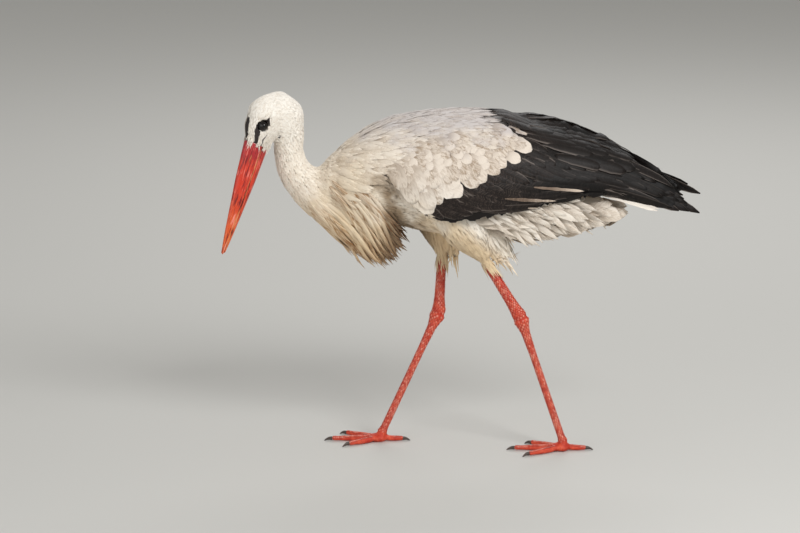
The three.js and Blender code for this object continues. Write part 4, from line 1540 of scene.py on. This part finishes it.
coat("body_feathers", on_trunk & ~front & ~rear, 40, 5.0, 3.9, 6, CONTOUR, 0.45, swing=0.06, arch=0.08)
coat("flank_feathers", rear, 56, 4.6, 6.0, 7, CONTOUR, 0.6, swing=0.10, loose=0.3, arch=0.12)
thighs = chosen("thigh_left", "thigh_right")
coat("thigh_feathers", thighs, 37, 3.0, 4.0, 6, CONTOUR, 0.8, swing=0.09, loose=0.22, arch=0.12)

# %% [markdown]
# ## The folded wings
# A folded wing is a stack of rows. From the wrist, rows of small white coverts hang down and back, each row
# longer than the one before, and the last one ends in scallops over the black flight feathers, which turn
# from slanting down at the front to nearly level at the tail. A few large clean coverts overlap at the
# front, and a few secondaries have pale worn outer webs. All of them lie on one smooth shell, made from the
# CAD wings, trunk and lower neck, and each is found from its tip backwards, so that the rows end where they
# should. The white mantle lies on a second shell further in, and runs over the upper edge of both wings.

# %% The shell under the wing feathers
def evened(nodes, voxel, rounds):
    """Some CAD pieces as one smooth mesh, whose faces are so many millimetres wide."""
    gathered = bmesh.new()
    for node in nodes:
        gathered.from_mesh(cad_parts[node].data)
    mesh = remeshed(mesh_of("evened", gathered), voxel * MM)
    set_places(mesh, smoothed(places(mesh), edges_of(mesh), rounds))
    return mesh


under_wings = ("trunk", "neck_lower")
shell_mesh = evened([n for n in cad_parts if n.startswith("wing_") or n in under_wings], 3, 12)
SHELL = ground_of(shell_mesh)
# The inner shell lies deep at the front, as the skin does.
sunk = np.interp(places(shell_mesh)[:, 0] / MM, [-215, -140], [7.5, 3.2])
set_places(shell_mesh, places(shell_mesh) - MM * sunk[:, None] * normals(shell_mesh))
INNER_SHELL = ground_of(shell_mesh)
print("shell:", len(SHELL.corners), "triangles")

# %% [markdown]
# The lie on a wing is given by a few angles below the level, at places in the side view in millimetres.

# %% The lie on a wing
WING_LIE = np.array([
    (-121, 454, 45), (-97, 437, 66), (-66, 420, 70), (-34, 446, 62), (13, 478, 56), (61, 494, 48),
    (105, 512, 34), (-97, 486, 22), (-34, 518, 22), (40, 540, 14), (-66, 540, -8), (-26, 400, 42),
    (0, 386, 8), (61, 437, 28), (61, 406, 0), (140, 412, -4), (140, 478, 26), (219, 478, 21), (219, 437, 8),
    (298, 437, 22), (361, 410, 24), (150, 530, 18), (46, 534, 5), (76, 532, 4), (108, 528, 8),
])


def wing_lie(points, facing):
    """The direction of the feathers at places on a wing."""
    gap = np.linalg.norm(points[:, None, (0, 2)] - MM * WING_LIE[None, :, :2], axis=2)
    angle = np.radians(WING_LIE[:, 2])
    arrow = np.column_stack([np.cos(angle), 0 * angle, -np.sin(angle)])
    return flat_on((1 / (gap**2 + 0.015**2) ** 2) @ arrow, facing)


def cast(ground, origins, direction):
    """Where parallel rays first meet a surface: (hit or not, places, facing)."""
    hit, spots, face = rays(ground.tree, origins, [direction] * len(origins))
    return hit, spots, ground.facing[face]


def from_side(side, x, z):
    """Places on the outer side of a wing, given in the side view in millimetres."""
    start = np.column_stack([MM * x, np.full(len(x), SIDES[side] * BESIDE), MM * z])
    inward = (0, -SIDES[side], 0)
    hit, spots, facing = cast(SHELL, start, inward)
    return hit & rays(wing_tree, start, [inward] * len(start), BESIDE)[0], spots, facing


def wing_spines(tips, facing, length, low, high, stations, swing, flow=wing_lie, rise=1.0, ground=SHELL):
    """Spines on a shell, found from the tip backwards; low and high are heights over it at root and tip."""
    way = turned(-flow(tips, facing), facing, chance.normal(0, swing, len(tips)))
    here, up = tips, facing
    length = np.broadcast_to(length, len(tips))
    spots, ups = [], []
    for j in range(stations):
        s = 1 - j / (stations - 1)
        height = np.broadcast_to(low + (high - low) * s**rise, len(tips))
        spots.append(here + MM * height[:, None] * up)
        ups.append(up)
        there = here + way * (MM * length / (stations - 1))[:, None]
        found, face = nearest(ground.tree, there)
        slope = ground.facing[face]
        held = ((slope * up).sum(axis=1) > ALIKE)[:, None]
        here = np.where(held, found, there)
        up = np.where(held, unit(up + slope), up)
        way = unit(way - 0.5 * held * (way + flow(here, up)))
    return np.stack(spots[::-1], axis=1), np.stack(ups[::-1], axis=1)


def rounded_vane(count, stations, fray, tip, end=0.2):
    """Half widths of a broad vane, 1 at the widest, that is rounded from a share of its length on."""
    s = np.linspace(0, 1, stations)
    round_end = np.sqrt(np.maximum(1 - np.maximum((s - tip) / (1 - tip), 0) ** 2.4, end**2))
    return np.minimum(1, 0.4 + 1.7 * s) * round_end * (1 + chance.normal(0, fray, (count, stations)))


print(len(WING_LIE), "angles on the wing")

# %% [markdown]
# The rows are counted from the border between white and black, which climbs from the front of the wing to
# the back at about 36 degrees. Along the border is u and across it, towards the white side, is v.

# %% Rows of a wing
BORDER_AT, BORDER = np.array([40, 454]), np.array([0.81, 0.587])


def in_side_view(u, v):
    """Places in the side view from places along and across the border, in millimetres."""
    return (BORDER_AT + u[:, None] * BORDER + v[:, None] * (-BORDER[1], BORDER[0])).T


def row(side, v, starts, ends, step, jitter, shift=0.0):
    """Tips of one row: places on the shell and the way it faces there."""
    u = np.arange(starts + shift * step, ends, step)
    u = u + chance.normal(0, jitter * step, len(u))
    border = np.interp(u, [-118, -98, -74, -48, -5, 21, 60, 90], [2, 10, 11, 6, 1, -3, -8, -13])
    across = v + border + 0.7 * jitter * step * chance.normal(0, 1, len(u)).clip(-1.4, 1.4)
    x, z = in_side_view(u, across)
    hit, spots, facing = from_side(side, x, z)
    return spots[hit], facing[hit], x[hit], z[hit]


def white_top(x):
    """The height in the side view of the upper edge of the white, in millimetres."""
    return np.interp(x, [-40, 20, 46, 107, 125], [505, 519, 527, 524, 510])


def joined_rows(rows):
    """Joins the spines, upward directions and half widths of several rows."""
    return [np.concatenate(part) for part in zip(*rows)]


FRONT = np.array([(-55, 392), (-44, 410), (-74, 417), (-62, 436), (-90, 436)])  # tips, in the side view
WHITE_HEIGHT = 88  # of the rows together, across the border, in millimetres as all sizes here
COVERT_LENGTH, COVERT_HALF = 50, 12.5  # how long the largest are, and half how wide
COVERT_STEP, COVERT_ROW = 19, 13  # between feathers of a row, and between rows


def white_coverts(side):
    """Every white covert of one wing."""
    rows, v, count = [], 0.0, 0
    while v < WHITE_HEIGHT:
        size = np.interp(v, [0, 15, 45, 88], [1, 0.88, 0.74, 0.6])
        tips, facing, x, z = row(side, v, -118, 130, COVERT_STEP * size, 0.16, 0.5 * (count % 2))
        white = (z < white_top(x)) & (x < 119)
        tips, facing, x = tips[white], facing[white], x[white]
        larger = 1 + 0.4 * ramp(-x, 20, 60) * ramp(-v, -50, -10)  # low at the front
        grown = chance.normal(size, 0.1 * size, len(tips)) * larger
        long, high = COVERT_LENGTH * grown, 0.6 + 1.7 * size
        spine, up = wing_spines(tips, facing, long, -2.2, high, 9, 0.10, rise=0.5)
        half = rounded_vane(len(tips), 9, 0.05, 0.62) * (COVERT_HALF * MM * grown)[:, None]
        rows.append((spine, up, half, chance.random(len(tips))))
        v += COVERT_ROW * size
        count += 1
    hit, tips, facing = from_side(side, *FRONT.T)
    tips, facing = tips[hit], facing[hit]
    high = 3.6 - 0.5 * np.arange(len(tips))  # each large clean covert at the front lies over the next one
    spine, up = wing_spines(tips, facing, 56, -1.0, high, 9, 0.06, rise=0.5)
    half = rounded_vane(len(tips), 9, 0.04, 0.6) * 13.5 * MM
    rows.append((spine, up, half, 0.25 + 0.15 * chance.random(len(tips))))
    spine, up, half, kind = joined_rows(rows)
    vanes(f"coverts_{side}", spine, up, half, COVERT, "white_plumage", [f"wing_{side}_coverts"],
          across=5, arch=0.03, thick=0.25, kind=kind)


BLACK_ROWS, BLACK_ROW = 11, 21  # how many, and how far apart
BLACK_LENGTH, BLACK_LONGER = 66, 12  # of the first row, and by how much each next one is longer
BLACK_STEP, BLACK_HALF = 11, 7.5  # between feathers of a row, and half their width


def black_rows(side):
    """Greater coverts and flight feathers of one wing."""
    rows = []
    for k in range(BLACK_ROWS):
        tips, facing, _, _ = row(side, -16 - BLACK_ROW * k, -100, 250, BLACK_STEP, 0.35, 0.5 * (k % 2))
        size = chance.normal(1, 0.1, len(tips))
        low = 0.03 * (10 - k) - 0.5  # each row lies over the next one
        long = (BLACK_LENGTH + BLACK_LONGER * k) * size
        spine, up = wing_spines(tips, facing, long, low, low + 1.1, 13, 0.06)
        half = rounded_vane(len(tips), 13, 0.04, 0.5, 0.1) * (BLACK_HALF * MM * size)[:, None]
        rows.append((spine, up, half))
    spine, up, half = joined_rows(rows)
    vanes(f"flight_feathers_{side}", spine, up, half, FLIGHT, "black_plumage",
          [f"wing_{side}_secondaries", f"wing_{side}_primaries"], across=5, arch=0.06, thick=0.4)


WORN = np.array([(146, 416), (120, 407), (190, 428)])  # tips, in the side view


def nearly_level(_, facing):
    """The lie of the lowest feathers of a wing."""
    return flat_on(np.array([0.99, 0, -0.12]), facing)


def worn_webs(side):
    """The pale worn outer edges of a few secondaries."""
    hit, tips, facing = from_side(side, WORN[:, 0], WORN[:, 1])
    tips, facing = tips[hit], facing[hit]
    spine, up = wing_spines(tips, facing, 84 + 0 * tips[:, 0], 2.4, 3.2, 12, 0.02, flow=nearly_level)
    half = rounded_vane(len(tips), 12, 0.12, 0.4, 0.05) * 2.6 * MM
    vanes(f"worn_webs_{side}", spine, up, half, WEB, "black_plumage", arch=0.05, thick=0.3)


MANTLE_SPACING, MANTLE_LENGTH, MANTLE_HALF, MANTLE_HEIGHT = 5.0, 38, 5.0, 4.4


def mantle():
    """The white feathers that run from the back over the upper edge of both wings."""
    spots, facing, _ = strewn(INNER_SHELL, MANTLE_SPACING)
    x, y, z = spots.T / MM
    edge = np.interp(x, [-205, -150, -118, -60, 14], [425, 452, 480, 492, 508]) + chance.normal(0, 5, len(x))
    begin = -203 + chance.normal(0, 8, len(x)).clip(-9, 20)
    over_wing = (x > begin) & (x < 5 + 0.1 * np.abs(y)) & (z > edge)
    spots, facing = spots[over_wing], facing[over_wing]
    size = varied(len(spots), 0.12, most=1.4)
    height = MANTLE_HEIGHT * size * np.interp(spots[:, 0] / MM, [-205, -140, -60, 0], [0.8, 1, 0.8, 1.25])
    spine, up = laid(spots, facing, MANTLE_LENGTH * MM * size, height, 6, 0.07, ground=INNER_SHELL)
    half = tapered(len(spots), 6, 0.4) * (MANTLE_HALF * MM * size)[:, None]
    vanes("mantle_feathers", spine, up, half, MANTLE, "white_plumage", arch=0.08)


above_border = (roots[:, (0, 2)] / MM - BORDER_AT) @ (-BORDER[1], BORDER[0]) > 24
on_wing = chosen("wing_left_coverts", "wing_right_coverts") & above_border
coat("lesser_coverts", on_wing, 24, 4.6, 2.0, 6, MANTLE, 0.4, arch=0.06, swing=0.10, flow=wing_lie)
mantle()
for side in SIDES:
    white_coverts(side)
    black_rows(side)
    worn_webs(side)

# %% [markdown]
# ## Down under the loose plumes
# The beard of the breast and the undertail hang clear of the body. Inside each is a body of down, which is
# the CAD piece smoothed and drawn in, and long feathers lie over it. The flight feathers of each wing get a
# black core in the same way, the inner vanes, so that no light shows between them.

# %% Down
def down(name, nodes, inset, finish, slot, rear=1000):
    """A soft core inside some CAD pieces, drawn in by some millimetres, and drawn forwards behind rear."""
    mesh = evened(nodes, 2.5, 10)
    depth = np.minimum(inset, OF_WALL * wall(mesh))
    spots = places(mesh) - depth[:, None] * MM * normals(mesh)
    spots[:, 0] -= 0.6 * np.maximum(spots[:, 0] - rear * MM, 0)
    set_places(mesh, spots)
    finished(name, mesh, finish, slot)
    return ground_of(mesh)


for side in SIDES:
    wing = [f"wing_{side}_secondaries", f"wing_{side}_primaries"]
    down(f"inner_vanes_{side}", wing, 1.6, FLIGHT, "black_plumage")
down("breast_down", ["breast_plume"], 2.5, PLUME, "breast_plumage")
TAIL_DOWN = down("undertail_down", ["undertail"], 4.0, CONTOUR, "white_plumage", rear=215)

# %% [markdown]
# ## The beard of the breast
# A white stork's lower neck carries long lance-shaped feathers that hang in a beard. Each one leaves the
# skin along the lie and bends down to its place among the tips, which fall in a row, as on the CAD piece.


# %% Breast plumes
BEARD_X = (-248, -148)  # where the beard's roots begin and end, in millimetres
TIP_X, TIP_Z = [-162, -134, -112, -100], [324, 300, 302, 344]
ROOT_Z = [400, 380, 374, 376]


def curved(starts, leave, ends, arrive, stations):
    """Curves from starts to ends that leave and arrive in given directions."""
    reach = np.linalg.norm(ends - starts, axis=1, keepdims=True)
    points = [starts, starts + 0.45 * reach * leave, ends - 0.3 * reach * arrive, ends]
    s = np.linspace(0, 1, stations)[None, :, None]
    parts = [(1 - s) ** 3, 3 * s * (1 - s) ** 2, 3 * s**2 * (1 - s), s**3]
    return sum(part * point[:, None] for part, point in zip(parts, points))


def beard():
    """The long plumes of the breast."""
    x, y, z = roots.T / MM
    low = z + chance.normal(0, 7, len(x)) < 466 - 0.62 * (x + 225)
    zone = chosen("neck_lower", "trunk") & (x > BEARD_X[0]) & (x < BEARD_X[1])
    zone &= low & (root_facing[:, 2] < 0.35)
    start, facing = roots[zone], root_facing[zone]
    x, y, z = start.T / MM
    t = np.interp(x + chance.normal(0, 9, len(x)), BEARD_X, [0, 1])
    steps = np.linspace(0, 1, 4)
    above = z - np.interp(t, steps, ROOT_Z)
    tip_x = np.minimum(np.interp(t, steps, TIP_X) + 0.35 * above, -98 + 0 * x)
    tip_z = np.interp(t, steps, TIP_Z) + 0.62 * np.maximum(above, 0)
    tip_y = 0.86 * y
    ends = MM * (np.column_stack([tip_x, tip_y, tip_z]) + chance.normal(0, (7, 4, 4), (len(x), 3)))
    leave = turned(lie(start, facing), facing, chance.normal(0, 0.08, len(x)))
    arrive = unit(ends - start + chance.normal(0, 4 * MM, (len(x), 3)))
    spine = curved(start - MM * facing, leave, ends, arrive, 9)
    raised = MM * chance.uniform(1, 9, (len(x), 1, 1)) * (0.3 + 0.7 * np.abs(facing[:, 1]))[:, None, None]
    lift = np.sin(np.linspace(0, np.pi, 9))[None, :, None] * raised * facing[:, None]
    half = np.sin(np.pi * np.linspace(0.12, 0.985, 9) ** 0.9) ** 0.8
    half = half * (chance.normal(3.6, 0.8, (len(x), 1)).clip(1.8, 5.5) * MM)
    up = np.repeat(facing[:, None], 9, axis=1)
    vanes("breast_plumes", spine + lift, up, half, PLUME, "breast_plumage", ["breast_plume"],
          across=5, arch=0.16)


beard()

# %% [markdown]
# ## Tail and undertail
# The tail is a fan of twelve white feathers, nearly hidden by the wings. Below it and along the flanks hang
# loose fluffy plumes, whose tips end along a hem that is given in the side view in millimetres.


# %% Tail feathers
def tail():
    """The twelve tail feathers."""
    across = np.linspace(-0.5, 0.5, 12)
    root = np.column_stack([0 * across + 140, across * 34, 436 - np.abs(across) * 5])
    length = 178 - 22 * np.abs(across)
    way = np.column_stack([length, across * 46, -38 - np.abs(across) * 8])
    leave = unit(way + (0, 0, 22))
    spine = curved(MM * root, leave, MM * (root + way), unit(way - (0, 0, 12)), 12)
    spine[:, :, 2] += MM * (2.5 - 5 * np.abs(across))[:, None]
    facing = unit(np.column_stack([0 * across + 0.25, across * 0.8, 0 * across + 1]))
    up = np.repeat(facing[:, None], 12, axis=1)
    half = rounded_vane(12, 12, 0.02, 0.55, 0.08) * 10 * MM
    vanes("tail_feathers", spine, up, half, COVERT, "white_plumage", ["tail"],
          across=7, arch=0.12, thick=0.6)


def backwards_and_down(points, facing):
    """The lie of the undertail."""
    return flat_on(np.array([0.93, 0, -0.30]) - ramp(points[:, :1], 0.20, 0.10) * (0, 0, 0.35), facing)


tail()
HEM = np.array([(40, 342), (61, 336), (108, 335), (151, 352), (219, 365), (254, 377), (300, 392)]).T
LAST_PLUMES = (160, 205)  # from here on they are broad and hang more steeply
REARMOST = 274


def fluff(name, spots, facing, reach, half, stands_for=()):
    """Loose plumes that stream back and down and end above the undertail's hem."""
    size = varied(len(spots), 0.24, most=1.6)
    fall = np.interp(facing[:, 2], [-1, 0.2], [0.62, 0.2]) + chance.normal(0, 0.28, len(spots))
    last = ramp(spots[:, 0] / MM, *LAST_PLUMES)
    fall = fall + 0.35 * last
    ends = spots + MM * reach * size[:, None] * np.column_stack([1 + 0 * fall, 0 * fall, -fall])
    ends = ends + chance.normal(0, 2 * MM, ends.shape)
    ends[:, 0] = np.minimum(ends[:, 0], MM * (REARMOST - 14 * size))
    hem = MM * (np.interp(ends[:, 0] / MM, *HEM) + np.abs(chance.normal(0, 5, len(spots))))
    ends[:, 2] = np.maximum(ends[:, 2], hem)
    leave = backwards_and_down(spots, facing)
    spine = curved(spots - MM * facing, leave, ends, unit(ends - spots - (0, 0, 6 * MM)), 8)
    out = MM * (0.3 + 1.7 * ramp(-spots[:, 2], -0.412, -0.392))[:, None, None]  # flat under the wing
    spine = spine + np.linspace(0, 1, 8)[None, :, None] ** 0.7 * out * facing[:, None]
    up = np.repeat(facing[:, None], 8, axis=1)
    blunt = np.interp(spots[:, 0] / MM, [10, 60, 190], [0.7, 0.45, 0.26])
    widths = tapered(len(spots), 8, blunt) * (half * MM * size * (1 + 0.35 * last))[:, None]
    vanes(name, spine, up, widths, FLUFF, "white_plumage", stands_for, across=5, arch=0.06)


spots, facing, _ = strewn(TAIL_DOWN, 4.2)
clear = spots[:, 2] > MM * (np.interp(spots[:, 0] / MM, *HEM) + 3)
side_on = (facing[:, 2] < 0.4) & (facing[:, 0] < 0.7) & clear
side_on &= (spots[:, 0] < 0.235) & (spots[:, 2] < 0.416)
fluff("undertail_plumes", spots[side_on], facing[side_on], 46, 7.2, ["undertail"])
x, y, z = roots.T / MM
on_flank = chosen("trunk") & (x > -4) & (x < 130) & (z < 430) & (root_facing[:, 2] < 0.3)
fluff("flank_plumes", roots[on_flank], root_facing[on_flank], 70, 7.4)

# %% [markdown]
# ## Shoulder feathers and wing tips
# Black scapulars cover the back between the wings. They lie on a roof over both wings that bridges the
# hollow between them. The longest primaries reach past the tail.


# %% Scapulars and primaries
ABOVE = 700  # millimetres, well clear of the back
DOWNWARDS = (0, 0, -1)


def roof():
    """A sheet over both wings that bridges the hollow between them, for the scapulars to lie on."""
    x, y = np.arange(-30, 330, 6.0), np.arange(-96, 97, 6.0)
    level = np.zeros((len(x), len(y)))
    for i, station in enumerate(x):
        above = MM * np.column_stack([0 * y + station, y, 0 * y + ABOVE])
        hit, spots, _ = cast(SHELL, above, DOWNWARDS)
        level[i] = np.where(hit, spots[:, 2] / MM, 300)
        tops = [np.argmax(np.where(y * way > 0, level[i], 0)) for way in (-1, 1)]
        bridge = np.interp(y, y[tops], level[i][tops]) - 0.12 * np.minimum(y - y[tops[0]], y[tops[1]] - y)
        between = (y > y[tops[0]]) & (y < y[tops[1]])
        level[i] = np.where(between, np.maximum(level[i], bridge), level[i])
    points = MM * np.stack(np.broadcast_arrays(x[:, None], y[None], level), axis=-1).reshape(-1, 3)
    corner = (np.arange(len(x) - 1)[:, None] * len(y) + np.arange(len(y) - 1)).ravel()
    mesh = bpy.data.meshes.new("roof")
    faces = np.column_stack([corner, corner + len(y), corner + len(y) + 1, corner + 1])
    mesh.from_pydata(points.tolist(), [], faces.tolist())
    return ground_of(mesh)


ROOF = roof()
SCAPULAR_LENGTH, SCAPULAR_HALF = 84, 10.5  # millimetres


def scapulars():
    """The black feathers over the back, found from above."""
    rows = []
    for k, x in enumerate(np.arange(99, 270, 17)):
        y = np.arange(-84 + 6 * (k % 2), 85, 12.0)
        y = y + chance.normal(0, 1.5, len(y))
        start = MM * np.column_stack([x + chance.normal(0, 4, len(y)), y, 0 * y + ABOVE])
        _, tips, facing = cast(ROOF, start, DOWNWARDS)
        lowest = MM * np.interp(x, [99, 116, 150, 262], [528, 525, 505, 430])
        good = (facing[:, 2] > 0.1) & (tips[:, 2] > lowest)
        size = chance.normal(1, 0.06, good.sum())
        long = SCAPULAR_LENGTH * size
        spine, up = wing_spines(tips[good], facing[good], long, 0, 4.2, 12, 0.05, lie, 0.45, ROOF)
        half = rounded_vane(good.sum(), 12, 0.03, 0.7) * (SCAPULAR_HALF * MM * size)[:, None]
        rows.append((spine, up, half))
    spine, up, half = joined_rows(rows)
    vanes("scapulars", spine, up, half, FLIGHT, "black_plumage", across=5, arch=0.16, thick=0.6)


def primaries(side):
    """The long feathers of a wing tip."""
    points = node_places(f"wing_{side}_primaries")
    ends = points[np.argsort(-points[:, 0])]
    tips = []
    for end in ends:
        if all(np.linalg.norm(end - other) > 9 * MM for other in tips):
            tips.append(end)
    tips = np.array(tips[:9])
    out = SIDES[side]
    start = MM * (np.array([190, 26 * out, 462]) + np.linspace(0, 1, 9)[:, None] * (-24, 4 * out, -22))
    way = unit(tips - start)
    outward = np.array([0.1, out, 0.35])
    spine = curved(start, unit(way + (0, 0, 0.12)), tips, unit(way - (0, 0, 0.04)), 14)
    spine += np.sin(np.linspace(0, np.pi, 14))[None, :, None] * 3 * MM * outward
    up = np.tile(unit(outward), (9, 14, 1))
    half = rounded_vane(9, 14, 0.02, 0.55, 0.12) * 8.5 * MM
    vanes(f"primaries_{side}", spine, up, half, FLIGHT, "black_plumage", across=7, arch=0.12, thick=0.6)


scapulars()
for side in SIDES:
    primaries(side)

# %% [markdown]
# ## The fringe round the bill
# Short white bristles point forwards over the root of the bill, on the forehead and on the chin.


# %% Fringe
a, o, l = in_head(roots).T
at_bill = ((o > 0.5) | (o < -5)) & (np.hypot(o + 4, l) < 19) | (o > 8)
fringe = chosen("head", "neck_upper") & (a > 21) & at_bill
p, facing = np.repeat(roots[fringe], 3, axis=0), np.repeat(root_facing[fringe], 3, axis=0)
p = p + chance.normal(0, 0.7 * MM, p.shape)
a, o, l = in_head(p).T
long = (np.interp(np.abs(l), [0, 13], [8, 6.5]) + 3 * ramp(o, 4, 12)) * chance.normal(1, 0.25, len(p))
clear = unit(facing - (facing @ ahead)[:, None] * ahead)
way = turned(unit(ahead + 0.03 * clear), clear, chance.normal(0, 0.16, len(p)))
run = np.linspace(0, 1, 5)[None, :, None]
spine = p[:, None] + MM * (long[:, None, None] * run * way[:, None] + 0.6 * clear[:, None])
up = np.repeat(clear[:, None], 5, axis=1)
vanes("bill_fringe", spine, up, tapered(len(p), 5, 0.8) * 0.8 * MM, CONTOUR, "white_plumage")

# %% [markdown]
# ## Scales of the legs
# The legs are covered by small horny plates, in rings round the shank and the tarsus and across the top of
# each toe.


# %% Scutes
SCUTE = 3.3  # their size along the leg, in millimetres
CLEAR = 40  # how far from the bone each is looked for


def scutes(side):
    """The plates of one leg."""
    foot = centre(f"foot_{side}")
    cuff = end_of(f"shank_{side}", CUFF)
    heel, ankle = end_of(f"tarsus_{side}", HEEL_SPAN), end_of(f"tarsus_{side}", CUFF, top=False)
    origins, aims, down_leg = [], [], []
    for top, bottom, around in ((cuff, heel, 11), (heel, ankle, 9)):
        way = unit(bottom - top)
        across = unit(np.cross(way, (0, 1, 0)))
        for k in range(int(np.linalg.norm(bottom - top) / (SCUTE * MM))):
            for j in range(around):
                angle = 2 * math.pi * (j + 0.5 * (k % 2)) / around
                aim = math.cos(angle) * across + math.sin(angle) * np.cross(way, across)
                origins.append(top + way * SCUTE * MM * k + CLEAR * MM * aim)
                aims.append(-aim)
                down_leg.append(way)
    for toe in TOES:
        tip = centre(f"claw_{side}_{toe}")
        way = unit((tip - foot) * (1, 1, 0))
        for k in range(3, int(np.linalg.norm((tip - foot)[:2]) / (SCUTE * MM)) - 1):
            for shift in (-2.4, 0, 2.4):
                aside = np.array([-way[1] * shift, way[0] * shift, CLEAR])
                origins.append(foot * (1, 1, 0) + MM * (SCUTE * k * way + aside))
                aims.append(DOWNWARDS)
                down_leg.append(way)
    hit, spots, face = rays(SKIN_GROUND.tree, origins, aims, 0.05)
    hit &= bare[face] > 0.9
    spots, facing, flow = spots[hit], SKIN_GROUND.facing[face[hit]], np.array(down_leg)[hit]

    def along_leg(_, facing):
        return flat_on(flow, facing)

    long, high = np.full(len(spots), 4.1 * MM), np.full(len(spots), 0.5)
    spine, up = laid(spots, facing, long, high, 5, 0.03, flow=along_leg)
    half = np.tile([0.9, 1.0, 1.0, 0.8, 0.3], (len(spots), 1)) * 1.75 * MM
    vanes(f"scutes_{side}", spine, up, half, SCALE, "leg_skin", across=3, arch=0.12, thick=0.25)


for side in SIDES:
    scutes(side)
